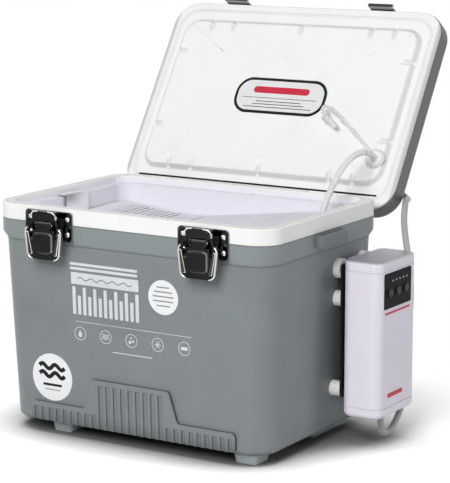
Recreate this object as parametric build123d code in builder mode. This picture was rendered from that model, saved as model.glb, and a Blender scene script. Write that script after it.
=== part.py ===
"""Live-bait cooler with a clip-on air pump, modelled with the lid open.

Millimetres, +Z up, +X along the front towards the pump, front face towards -Y.
The origin is the centre of the box's underside, between its feet.
"""
import os
from math import atan2, cos, degrees, pi, radians, sin, tan

from build123d import *

os.makedirs("parts", exist_ok=True)

# ---- Box ----
rim_width = 310.0  # X, over the white rim band
rim_depth = 217.0  # Y, over the white rim band
rim_height = 214.0  # top of the rim above the underside
rim_corner = 25.0
band_height = 15.3
skirt_height = 20.0  # grey skirt under the band, chamfer included
skirt_step = 3.2  # how far the body stands inside the skirt
skirt_chamfer = 6.5
body_taper = 6.4  # how far each wall leans in between skirt and underside
body_edge = 6.0
shell_wall = 2.6
foot_height = 10.0
foot_draft = 12.0  # degrees
foot_corner = 5.0
foot_edge = 1.5

# ---- Tub ----
rim_top_x = 10.0  # flat top of the rim at the ends
rim_top_y = 10.5  # and along the front and back
recess_drop = 7.0  # step in the rim that takes the lid's plug
recess_corner = 19.0
ledge_width = 9.0
tub_corner = 24.0
tub_taper = 6.0
tub_wall = 2.5
tub_floor = 22.0  # top face of the floor above the underside
tub_edge = 4.0
rim_edge = 1.5
foam_gap = 0.2

# ---- Skid plate on the front ----
skid_width = 232.0
skid_low = 2.5
skid_band_top = 21.0
skid_tab_top = 51.0
skid_tab_width = 88.0
skid_shoulder = 9.0
skid_thickness = 3.2
flute_pitch = 8.5
flute_radius = 2.6
flute_depth = 1.5

# ---- Side grips ----
grip_length = 52.0
grip_height = 10.5
grip_reach = 8.6
grip_bar = 3.6
grip_drop = 2.0  # below the rim band
grip_corner = 5.0

# ---- Lid ----
lid_side_over = 4.5  # overhang past the rim
lid_front_over = 3.0
lid_back_over = 2.0
lid_corner = 27.0
lid_gap = 1.0  # lid face above the rim when shut
lid_flange = 3.0
lid_height = 23.0  # grey shell above the flange
liner_inset = 0.6
lid_edge = 9.0
lid_wall = 2.5
plug_clear_x = 3.0  # between the plug and the recess
plug_clear_y = 10.0
plug_shift = -2.0
plug_corner = 19.0
plug_drop = 5.0
plug_slope = 5.0
notch_width = 2.4
notch_depth = 1.2
notch_reach = 9.0
notch_x = (-107.0, -80.0, 2.0, 84.0, 111.0)
notch_y = (-51.0, 37.0)
gasket_inset_x = 3.0  # inside the rim's edge
gasket_inset_y = 5.0
gasket_corner = 24.0
gasket_section = 4.0
gasket_groove = 1.6
gasket_clear = 0.3

# ---- Hinge ----
hinge_inset = 1.0  # pin inside the rim's back face
hinge_drop = 7.7  # pin below the rim's top
lid_open_angle = 122.85
hinge_spread = 190.0  # between the two hinges
hinge_length = 44.0
hinge_pin_radius = 1.6
pin_clearance = 0.05
knuckle_radius = 4.2
ear_thickness = 5.0
ear_gap = 0.4  # between ear and lid knuckle, each side
bracket_plate = 1.4
hinge_web = 7.0

# ---- Latches ----
latch_spread = 173.0  # between the two latches
plate_width = 55.0
plate_height = 28.5
plate_top_drop = 3.0  # plate's top below the rim's top
plate_sheet = 1.2
plate_corner = 4.0
rivet_spread_x = 43.0
rivet_spread_z = 14.5
rivet_hole = 1.55
rivet_shank = 1.5
rivet_head = 2.5
rivet_dome = 1.2
lever_pivot_out = 8.0  # lever pin in front of the box face
lever_pivot_drop = 16.0  # below the rim's top
lever_pin_radius = 1.5
lever_barrel = 3.2
lever_barrel_length = 14.0
lever_top_width = 43.5
lever_bottom_width = 36.0
lever_length = 32.0
lever_sheet = 1.2
lever_corner = 6.5
lever_shoulder = 0.8  # lever's top edge below its pin
lever_lug = 1.6
lever_lug_radius = 2.6
lever_flange = 3.0
lever_boss_width = 22.0
lever_boss_height = 1.6
latch_ear = 1.6
latch_ear_reach = 3.9
claw_pin_out = 4.5
claw_pin_drop = 26.0
claw_pin_radius = 1.2
claw_slot_drop = 4.4  # bottom of the lever's claw slots below the claw pin
claw_sheet = 1.0
claw_width = 30.0
claw_window = 25.4
claw_rest_tilt = 8.0  # outward lean of the resting claw
claw_front_out = 7.1  # middle of the claw's front sheet when it is hooked
claw_tip_out = 4.65
claw_crest_drop = 1.8  # below the rim's top, as the next two
claw_bend_drop = 11.0
claw_tip_drop = 4.4
claw_bends = (3.0, 1.2, 1.2)
claw_eye = 2.2
keeper_width = 28.0
keeper_sheet = 1.0
keeper_hook = 3.3  # how far the keeper stands out of the lid's front
keeper_drop = 6.0  # below the rim's top with the lid shut
keeper_lip = 3.4
keeper_height = 13.0

# ---- Grommet and vent plug ----
grommet_inset_x = 29.1  # inside the lid's end
grommet_inset_y = 28.7  # inside the plug's back edge
grommet_flange = 8.0
grommet_sleeve = 6.0
grommet_lip = 1.9
hose_radius = 3.1
hose_clearance = 0.05
strap_radius = 1.4
strap_ring = 10.6
vent_tip = (89.6, 35.2, -11.0)  # where the loose plug points, as x, y and height of the shut lid
vent_pin_radius = 2.9
vent_pin_length = 17.0
vent_head_radius = 5.0
vent_head_length = 2.4

# ---- Bait tray ----
tray_clearance = 1.0
tray_sheet = 2.0
tray_end_gap = 2.0  # between the sheet's ends and the tub
tray_left_drop = 18.5  # below the ledge, as the next two
tray_valley_x = -48.0
tray_valley_drop = 28.0
tray_right_drop = 5.5
tray_bend = 120.0
tray_slot = 2.2
tray_pitch = 6.0
tray_slot_margin = 9.0
tray_end_margin = 12.0
tab_width = 36.0
tab_hook = 7.0
tray_notch_length = 32.0  # corner left out of the tray for the hose
tray_notch_depth = 53.0

# ---- Pump ----
pump_thickness = 40.7  # X
pump_width = 77.0  # Y
pump_height = 150.5
pump_gap = 9.3  # between the rim and the pump's back
pump_drop = 44.5  # pump's top below the rim's top
pump_y = 47.5
pump_corner = 10.0
pump_wall = 2.2
cap_height = 9.5
cap_top_edge = 3.0
cap_foot_edge = 5.0
seam_height = 0.8
seam_depth = 0.7
cap_wall = 3.0
panel_width = 54.5
panel_height = 34.0
panel_offset = -2.75  # from the pump's middle
panel_drop = 28.3  # below the pump's top
panel_sheet = 1.0
panel_corner = 2.0
panel_recess = 0.6
button_radius = 4.3
button_spacing = 16.2
button_drop = 30.5  # below the pump's top
button_travel = 0.8
button_proud = 1.3
button_clearance = 0.1
button_rim = 0.9  # retaining rim behind the wall
button_rim_sheet = 0.9
button_edge = 0.5
light_count = 5
light_spacing = 7.0
light_offset = 0.8  # from the pump's middle
light_drop = 19.5  # below the pump's top
light_radius = 1.0
light_proud = 0.25
inside_gap = 0.3
battery_radius = 9.1
battery_length = 66.0
battery_rise = 41.0  # above the pump's underside
battery_offset = 19.0  # from the pump's middle
motor_radius = 11.0
motor_length = 30.0
motor_rise = 16.0  # above the pump's underside
motor_offset = -17.0  # from the pump's middle
board_sheet = 1.6
board_depth = 2.7  # behind the wall's inner face
board_width = 65.0
board_height = 36.0
board_drop = 13.5  # below the pump's top

# ---- Pump hanger and clip ----
hanger_gap = 3.0  # between the rim and the hanger
hanger_sheet = 2.4
hanger_width = 58.0
hanger_rise = 15.0  # above the pump's underside
hanger_drop = 6.5  # below the pump's top
hanger_corner = 3.0
bumper_radii = (9.4, 7.4, 7.4)  # upper, middle and lower pair
bumper_drops = (5.0, 34.0)  # upper and middle pair below the hanger's top
bumper_rise = 7.0  # lower pair above the hanger's foot
bumper_spread = 46.0
bumper_offset = 1.0  # from the pump's middle
clip_gap = 0.35
clip_pad = 1.8
clip_upper_height = 16.0
clip_upper_rise = 1.0  # above the hanger's top
clip_lower_height = 14.0
clip_lower_drop = 4.0  # below the hanger's foot
clip_overlap = 4.0  # of the spine on each pad
clip_width = 41.0
clip_corner = 2.0
clip_edge = 1.0
clip_lip = 2.2
spine_width = 24.0
bridge_sheet = 3.0
lip_width = 20.0
nipple_radius = 4.2
nipple_length = 4.0
nipple_out = 24.7  # in front of the pump's back
nipple_offset = -3.5  # from the pump's middle

# ---- Air stone ----
stone_end_gap = 21.0  # from the tub's end to the stone's middle
stone_back_gap = 44.0  # from the tub's back
stone_radius = 8.5
stone_length = 26.0
stone_edge = 1.0
stone_neck = 4.0
stone_neck_length = 4.7
stone_gap = 0.3

# ---- Worked out from the sizes above ----
recess_width = rim_width - 2 * rim_top_x
recess_depth = rim_depth - 2 * rim_top_y
tub_width = recess_width - 2 * ledge_width
tub_depth = recess_depth - 2 * ledge_width
band_bottom = rim_height - band_height
skirt_bottom = band_bottom - skirt_height
chamfer_top = skirt_bottom + skirt_chamfer
ledge_z = rim_height - recess_drop
rim_front = -rim_depth / 2
hinge_y = rim_depth / 2 - hinge_inset
hinge_z = rim_height - hinge_drop
lid_width = rim_width + 2 * lid_side_over
lid_depth = rim_depth + lid_front_over + lid_back_over
lid_shift = (lid_back_over - lid_front_over) / 2
plug_width = recess_width - 2 * plug_clear_x
plug_depth = recess_depth - 2 * plug_clear_y
gasket_width = rim_width - 2 * gasket_inset_x
gasket_depth = rim_depth - 2 * gasket_inset_y
grommet_x = lid_width / 2 - grommet_inset_x
grommet_y = plug_shift + plug_depth / 2 - grommet_inset_y
face = lid_gap
flange_top = face + lid_flange
lid_top = flange_top + lid_height
plug_face = face - plug_drop
plug_floor = plug_face + lid_wall
pocket_inset = 2 * (plug_slope + lid_wall)
pocket = (plug_width - pocket_inset, plug_depth - pocket_inset, plug_corner - plug_slope)
lid_front = lid_shift - lid_depth / 2
lever_out = lever_pivot_out + lever_barrel
latch_sides = {"left": -latch_spread / 2, "right": latch_spread / 2}
hinge_sides = (-hinge_spread / 2, hinge_spread / 2)
pump_back = rim_width / 2 + pump_gap
pump_front = pump_back + pump_thickness
pump_top = rim_height - pump_drop
pump_bottom = pump_top - pump_height
nipple_x = pump_back + nipple_out
nipple_y = pump_y + nipple_offset
hanger_out = rim_width / 2 + hanger_gap
hanger_top = pump_top - hanger_drop
hanger_bottom = pump_bottom + hanger_rise
bumper_y = pump_y + bumper_offset
stone_x = tub_width / 2 - stone_end_gap
stone_y = tub_depth / 2 - stone_back_gap
lever_z = rim_height - lever_pivot_drop
lever_y = rim_front - lever_pivot_out


def body_inset(height):
    """How far the body wall stands inside the rim outline at a height."""
    return skirt_step + body_taper * (skirt_bottom - height) / skirt_bottom


def outline(width, depth, radius, plane):
    """A rounded rectangle drawn on a plane."""
    with BuildSketch(plane) as profile:
        RectangleRounded(width, depth, radius)
    return profile.sketch


def body_layer(height, wall=0.0):
    """The body's rounded outline at a height, moved inwards by a wall."""
    inset = body_inset(height) + wall
    plane = Plane.XY.offset(height)
    return outline(rim_width - 2 * inset, rim_depth - 2 * inset, rim_corner - wall, plane)


def tub_layer(height, wall=0.0):
    """The tub's rounded outline at a height, moved outwards by a wall."""
    share = (ledge_z - height) / (ledge_z - tub_floor)
    inset = tub_taper * share - wall
    plane = Plane.XY.offset(height)
    return outline(tub_width - 2 * inset, tub_depth - 2 * inset, tub_corner - tub_taper + wall, plane)


def rim_layer(height):
    """The rim's rounded outline at a height."""
    return outline(rim_width, rim_depth, rim_corner, Plane.XY.offset(height))


def opened(y, z):
    """A point of the shut lid, in the YZ plane, turned to the open lid's place."""
    swing = radians(-lid_open_angle)
    back, up = y - hinge_y, z - hinge_z
    return (hinge_y + back * cos(swing) - up * sin(swing), hinge_z + back * sin(swing) + up * cos(swing))


def lid_plane(height):
    """The plane across the open lid that lies this far above the rim when shut."""
    swing = radians(-lid_open_angle)
    normal = (0, -sin(swing), cos(swing))
    return Plane(origin=(0, *opened(0, rim_height + height)), x_dir=(1, 0, 0), z_dir=normal)


def lid_layer(width, depth, radius, height, shift=0.0):
    """A rounded rectangle across the open lid, with the shut lid's sizes."""
    with BuildSketch(lid_plane(height)) as profile:
        with Locations((0, shift)):
            RectangleRounded(width, depth, radius)
    return profile.sketch


lid_axis = Axis(lid_plane(0).origin, lid_plane(0).z_dir)


def lid_block(inset):
    """The lid's rounded block above its flange, moved inwards all round by an inset."""
    size = (lid_width - 2 * inset, lid_depth - 2 * inset, lid_corner - inset)
    with BuildPart() as block:
        extrude(lid_layer(*size, flange_top, lid_shift), amount=lid_height - inset)
        fillet(block.edges().sort_by(lid_axis)[-8:], lid_edge - inset)
    return block.part


def gasket_ring(height, clearance):
    """The gasket's closed band across the open lid, narrowed by a clearance on each side."""
    outer = (gasket_width - 2 * clearance, gasket_depth - 2 * clearance, gasket_corner - clearance)
    inset = gasket_section - clearance
    inner = (gasket_width - 2 * inset, gasket_depth - 2 * inset, gasket_corner - inset)
    return lid_layer(*outer, height) - lid_layer(*inner, height)


def keeper_plane(x):
    """The plane across the open lid's front at x: its own x out of the front, its own y to the top."""
    swing = radians(-lid_open_angle)
    out = (0, -cos(swing), -sin(swing))
    return Plane(origin=(x, *opened(lid_front, rim_height)), x_dir=out, z_dir=(-1, 0, 0))


def cord(points, radius, name):
    """A round cord along the points; each bend takes 0.45 of the shorter run beside it."""
    points = [Vector(*point) for point in points]
    radii = []
    for before, corner, after in zip(points, points[1:], points[2:]):
        first, second = corner - before, after - corner
        half_turn = radians(first.get_angle(second) / 2)
        radii.append(0.45 * min(first.length, second.length) / tan(half_turn))
    with BuildPart() as piece:
        with BuildLine() as path:
            FilletPolyline(*points, radius=radii)
        with BuildSketch(Plane(origin=points[0], z_dir=points[1] - points[0])):
            Circle(radius)
        sweep()
    print(name, "radii", [round(bend, 1) for bend in radii])
    section = pi * radius**2 * path.wires()[0].length
    print(name, "volume", round(piece.part.volume, 1), "section times length", round(section, 1))
    return piece


def save(piece, name):
    """Label a finished piece and write its STEP file."""
    piece.part.label = name
    export_step(piece.part, f"parts/{name}.step")


def wall_plane(x):
    """A plane facing +X at x, with its own x along +Y and its own y along +Z."""
    return Plane(origin=(x, 0, 0), x_dir=(0, 1, 0), z_dir=(1, 0, 0))


def side_plane(x):
    """A plane facing -X at x, with its own x along -Y and its own y along +Z."""
    return Plane(origin=(x, 0, 0), x_dir=(0, -1, 0), z_dir=(-1, 0, 0))


def front_plane(out=0.0):
    """A plane facing -Y, in front of the rim's front face."""
    return Plane(origin=(0, rim_front - out, 0), x_dir=(1, 0, 0), z_dir=(0, -1, 0))


# ---- Outer shell: tapered body, chamfered skirt and moulded feet ----
feet = (
    (-1, 67.0, -1, 29.5, 24.0, 28.0),
    (1, 35.0, -1, 29.5, 26.0, 28.0),
    (-1, 35.0, 1, 59.5, 26.0, 70.0),
    (1, 35.0, 1, 59.5, 26.0, 70.0),
)  # side and inset of the centre along x, the same along y, length along x and y
with BuildPart() as outer_shell:
    loft((body_layer(0), body_layer(skirt_bottom)), ruled=True)
    fillet(outer_shell.edges().group_by(Axis.Z)[0], body_edge)
    loft((body_layer(skirt_bottom), rim_layer(chamfer_top)), ruled=True)
    extrude(rim_layer(chamfer_top), amount=band_bottom - chamfer_top)
    hollow = (body_layer(shell_wall, shell_wall), body_layer(skirt_bottom, shell_wall))
    loft(hollow, ruled=True, mode=Mode.SUBTRACT)
    extrude(body_layer(skirt_bottom, shell_wall), amount=skirt_height, mode=Mode.SUBTRACT)
    for side_x, inset_x, side_y, inset_y, length_x, length_y in feet:
        with BuildSketch(Plane.XY):
            with Locations((side_x * (rim_width / 2 - inset_x), side_y * (rim_depth / 2 - inset_y))):
                RectangleRounded(length_x, length_y, foot_corner)
        extrude(amount=-foot_height, taper=foot_draft)
    fillet(outer_shell.edges().group_by(Axis.Z)[0], foot_edge)
save(outer_shell, "outer_shell")

# ---- Inner liner: rim band, stepped recess and tapered tub ----
with BuildPart() as inner_liner:
    extrude(rim_layer(band_bottom), amount=band_height)
    fillet(inner_liner.edges().group_by(Axis.Z)[-1], rim_edge)
    loft((tub_layer(tub_floor - tub_wall, tub_wall), tub_layer(band_bottom, tub_wall)), ruled=True)
    fillet(inner_liner.edges().group_by(Axis.Z)[0], tub_wall + tub_edge)
    loft((tub_layer(tub_floor), tub_layer(ledge_z)), ruled=True, mode=Mode.SUBTRACT)
    fillet(inner_liner.edges().filter_by_position(Axis.Z, tub_floor - 0.1, tub_floor + 0.1), tub_edge)
    recess = outline(recess_width, recess_depth, recess_corner, Plane.XY.offset(ledge_z))
    extrude(recess, amount=recess_drop, mode=Mode.SUBTRACT)
    for x in hinge_sides:
        with BuildSketch(Plane.XY.offset(band_bottom)):
            with Locations((x, hinge_y)):
                Rectangle(hinge_length + 2 * ear_gap, 2 * (knuckle_radius + bracket_plate + ear_gap))
        extrude(amount=band_height, mode=Mode.SUBTRACT)
save(inner_liner, "inner_liner")

# ---- Foam between shell and tub ----
with BuildPart() as foam_core:
    foam_inset = shell_wall + foam_gap
    foam_top = body_layer(skirt_bottom, foam_inset)
    loft((body_layer(foam_inset, foam_inset), foam_top), ruled=True)
    extrude(foam_top, amount=skirt_height - foam_gap)
    tub_seat = tub_layer(tub_floor - tub_wall - foam_gap, tub_wall + foam_gap)
    loft((tub_seat, tub_layer(band_bottom, tub_wall + foam_gap)), ruled=True, mode=Mode.SUBTRACT)
save(foam_core, "foam_core")

# ---- Fluted skid plate, leaning with the front wall ----
wall_lean = degrees(atan2(body_taper, skirt_bottom))
skid_plane = Plane(
    origin=(0, rim_front + body_inset(0), 0),
    x_dir=(1, 0, 0),
    z_dir=(0, -cos(radians(wall_lean)), -sin(radians(wall_lean))),
)
tab_half = skid_tab_width / 2
with BuildPart() as skid_plate:
    with BuildSketch(skid_plane):
        with BuildLine():
            half = skid_width / 2
            shoulder_half = tab_half + 2 * skid_shoulder
            FilletPolyline(
                (-half, skid_low),
                (half, skid_low),
                (half, skid_band_top),
                (shoulder_half - skid_shoulder, skid_band_top),
                (tab_half, skid_tab_top),
                (-tab_half, skid_tab_top),
                (skid_shoulder - shoulder_half, skid_band_top),
                (-half, skid_band_top),
                close=True,
                radius=skid_shoulder / 2,
            )
        make_face()
    extrude(amount=skid_thickness)
    flute_count = int(skid_width / flute_pitch)
    flute_sink = flute_radius - flute_depth
    flute_start = -(flute_count - 1) * flute_pitch / 2
    for index in range(flute_count):
        flute_x = flute_start + index * flute_pitch
        flute_top = skid_tab_top if abs(flute_x) < tab_half - flute_radius else skid_band_top
        flute_plane = Plane(
            origin=skid_plane.from_local_coords((flute_x, 0, skid_thickness + flute_sink)),
            x_dir=(1, 0, 0),
            z_dir=skid_plane.y_dir,
        )
        with BuildSketch(flute_plane):
            Circle(flute_radius)
        extrude(amount=flute_top - 2 * flute_radius, mode=Mode.SUBTRACT)
save(skid_plate, "skid_plate")

# ---- Side grips: bars standing off the skirt ----
grip_low = band_bottom - grip_drop - grip_height
for side, sign in (("left", -1), ("right", 1)):
    face_x = sign * rim_width / 2
    with BuildPart() as side_grip:
        with BuildSketch(Plane.XY.offset(grip_low)):
            with Locations((face_x + sign * grip_reach / 2, 0)):
                Rectangle(grip_reach, grip_length)
            inner_reach = grip_reach - grip_bar
            with Locations((face_x + sign * inner_reach / 2, 0)):
                Rectangle(inner_reach, grip_length - 2 * grip_bar, mode=Mode.SUBTRACT)
        extrude(amount=grip_height)
        outer_edges = side_grip.edges().filter_by(Axis.Z).sort_by(Axis.X)
        fillet(outer_edges[-2:] if sign > 0 else outer_edges[:2], grip_corner)
    save(side_grip, f"side_grip_{side}")

# ---- Lid: grey shell, white liner with a raised plug, foam and gasket ----
with BuildPart() as lid_shell:
    add(lid_block(0))
    add(lid_block(lid_wall), mode=Mode.SUBTRACT)
    with BuildSketch(lid_plane(lid_top)):
        with Locations((grommet_x, grommet_y)):
            Circle(grommet_sleeve + hose_clearance)
    extrude(amount=-lid_height, mode=Mode.SUBTRACT)
save(lid_shell, "lid_shell")

notches = [(x, plug_shift + sign * plug_depth / 2, 90) for x in notch_x for sign in (-1, 1)]
notches += [(sign * plug_width / 2, y, 0) for y in notch_y for sign in (-1, 1)]
with BuildPart() as lid_liner:
    flange = (lid_width - 2 * liner_inset, lid_depth - 2 * liner_inset, lid_corner - liner_inset)
    extrude(lid_layer(*flange, face, lid_shift), amount=lid_flange)
    plug_base = lid_layer(plug_width, plug_depth, plug_corner, face, plug_shift)
    plug_end_size = (plug_width - 2 * plug_slope, plug_depth - 2 * plug_slope, plug_corner - plug_slope)
    loft((plug_base, lid_layer(*plug_end_size, plug_face, plug_shift)), ruled=True)
    extrude(lid_layer(*pocket, plug_floor, plug_shift), amount=flange_top - plug_floor, mode=Mode.SUBTRACT)
    for x, y, turn in notches:
        with BuildSketch(lid_plane(plug_face)):
            with Locations(Location((x, y, 0), (0, 0, turn))):
                Rectangle(notch_reach * 2, notch_width)
        extrude(amount=notch_depth, mode=Mode.SUBTRACT)
    extrude(gasket_ring(face, 0), amount=gasket_groove, mode=Mode.SUBTRACT)
    with BuildSketch(lid_plane(plug_face)):
        with Locations((grommet_x, grommet_y)):
            Circle(grommet_sleeve + hose_clearance)
    extrude(amount=flange_top - plug_face, mode=Mode.SUBTRACT)
save(lid_liner, "lid_liner")

with BuildPart() as lid_gasket:
    extrude(gasket_ring(gasket_clear, 0.1), amount=face + gasket_groove - gasket_clear)
save(lid_gasket, "lid_gasket")

with BuildPart() as lid_foam:
    add(lid_block(lid_wall + foam_gap))
    pocket_foam = (pocket[0] - 2 * foam_gap, pocket[1] - 2 * foam_gap, pocket[2] - foam_gap)
    pocket_depth = flange_top - plug_floor - foam_gap
    extrude(lid_layer(*pocket_foam, plug_floor + foam_gap, plug_shift), amount=pocket_depth)
    with BuildSketch(lid_plane(lid_top)):
        with Locations((grommet_x, grommet_y)):
            Circle(grommet_sleeve + hose_clearance)
    extrude(amount=plug_face - lid_top, mode=Mode.SUBTRACT)
save(lid_foam, "lid_foam")

# ---- Hose grommet through the lid, and the vent plug tied to it ----
with BuildPart() as hose_grommet:
    for height, amount, radius in (
        (plug_face, -grommet_lip, grommet_flange),
        (plug_face, lid_top - plug_face, grommet_sleeve),
        (lid_top, grommet_lip, grommet_flange),
    ):
        with BuildSketch(lid_plane(height)):
            with Locations((grommet_x, grommet_y)):
                Circle(radius)
        extrude(amount=amount)
    with BuildSketch(lid_plane(plug_face - grommet_lip)):
        with Locations((grommet_x, grommet_y)):
            Circle(hose_radius + hose_clearance)
    extrude(amount=lid_top - plug_face + 2 * grommet_lip, mode=Mode.SUBTRACT)
save(hose_grommet, "hose_grommet")

strap_points = (
    (123.2, 50.5, -5.6),
    (110.9, 39.6, -8.6),
    (96.4, 28.1, -11.2),
    (82.5, 17.5, -13.0),
    (70.8, 9.4, -13.8),
    (61.8, 8.1, -14.2),
    (60.4, 14.9, -13.6),
    (66.3, 18.9, -13.2),
)  # x, y and height over the rim of the shut lid
strap_path = [lid_plane(0).from_local_coords(point) for point in strap_points]
vent_start = strap_path[-1]
vent_plane = Plane(origin=vent_start, z_dir=lid_plane(0).from_local_coords(vent_tip) - vent_start)
with BuildPart() as vent_plug:
    add(cord(strap_path, strap_radius, "vent_plug strap").part)
    with BuildSketch(lid_plane(plug_face)):
        with Locations((grommet_x, grommet_y)):
            Circle(strap_ring)
            Circle(grommet_flange + hose_clearance, mode=Mode.SUBTRACT)
    extrude(amount=-grommet_lip)
    with BuildSketch(vent_plane):
        Circle(vent_head_radius)
    extrude(amount=vent_head_length)
    with BuildSketch(vent_plane.offset(vent_head_length)):
        Circle(vent_pin_radius)
    extrude(amount=vent_pin_length, taper=2)
save(vent_plug, "vent_plug")

# ---- Hinges: brackets in the rim, knuckles under the lid, steel pins ----
knuckle_half = hinge_length / 2 - ear_thickness - ear_gap
web_corners = [
    opened(hinge_y - knuckle_radius, hinge_z),
    opened(gasket_depth / 2 + ear_gap, rim_height + face),
    opened(hinge_y + hinge_web - knuckle_radius, rim_height + face),
    opened(hinge_y + knuckle_radius, hinge_z),
]
with BuildPart() as hinge_brackets:
    for x in hinge_sides:
        with BuildSketch(Plane.XZ.offset(-(hinge_y - knuckle_radius - ear_gap))):
            with Locations((x, (band_bottom + rim_height) / 2)):
                Rectangle(hinge_length, band_height - 2 * ear_gap)
        extrude(amount=bracket_plate)
        for start in (x - hinge_length / 2, x + hinge_length / 2 - ear_thickness):
            with BuildSketch(Plane.YZ.offset(start)):
                with Locations((hinge_y, hinge_z)):
                    Circle(knuckle_radius)
                with Locations((hinge_y - (knuckle_radius + ear_gap) / 2, hinge_z)):
                    Rectangle(knuckle_radius + ear_gap, 2 * knuckle_radius)
                with Locations((hinge_y, hinge_z)):
                    Circle(hinge_pin_radius + pin_clearance, mode=Mode.SUBTRACT)
            extrude(amount=ear_thickness)
save(hinge_brackets, "hinge_brackets")

with BuildPart() as hinge_knuckles:
    for x in hinge_sides:
        with BuildSketch(Plane.YZ.offset(x - knuckle_half)):
            with BuildLine():
                Polyline(*web_corners, close=True)
            make_face()
            with Locations((hinge_y, hinge_z)):
                Circle(knuckle_radius)
                Circle(hinge_pin_radius + pin_clearance, mode=Mode.SUBTRACT)
        extrude(amount=2 * knuckle_half)
save(hinge_knuckles, "hinge_knuckles")

with BuildPart() as hinge_pins:
    for x in hinge_sides:
        with BuildSketch(Plane.YZ.offset(x - hinge_length / 2)):
            with Locations((hinge_y, hinge_z)):
                Circle(hinge_pin_radius)
        extrude(amount=hinge_length)
save(hinge_pins, "hinge_pins")

# ---- Draw latches: base plate, lever on its pin, claw on the lever ----
plate_z = rim_height - plate_top_drop - plate_height / 2
ear_inner = lever_barrel_length / 2 + ear_gap
ear_outer = ear_inner + latch_ear
claw_z = rim_height - claw_pin_drop
claw_y = rim_front - claw_pin_out
lever_top = lever_z - lever_shoulder
lever_foot = lever_top - lever_length
ear_notch = lever_z - latch_ear_reach - ear_gap
cut_inner = claw_window / 2 - ear_gap
cut_outer = claw_width / 2 + ear_gap
claw_slot = claw_z - claw_slot_drop
claw_crest = rim_height - claw_crest_drop
claw_bend_z = rim_height - claw_bend_drop
claw_tip_z = rim_height - claw_tip_drop
from_below = (Align.CENTER, Align.MIN)
claw_lean = radians(claw_rest_tilt)


def claw_plane(x):
    """The plane across the resting claw at x: its own x outwards, its own y up the claw."""
    out = (0, -cos(claw_lean), -sin(claw_lean))
    return Plane(origin=(x, claw_y, claw_z), x_dir=out, z_dir=(-1, 0, 0))


def lever_outline(centre, out, inset):
    """The lever's tapered shield, drawn in front of the box and moved inwards by an inset."""
    top, bottom = lever_top_width / 2 - inset, lever_bottom_width / 2 - inset
    with BuildSketch(front_plane(out)) as shield:
        with BuildLine():
            Polyline(
                (centre - top, lever_top - inset),
                (centre + top, lever_top - inset),
                (centre + bottom, lever_foot + inset),
                (centre - bottom, lever_foot + inset),
                close=True,
            )
        make_face()
        fillet(shield.vertices(), lever_corner - inset)
    return shield.sketch


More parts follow.
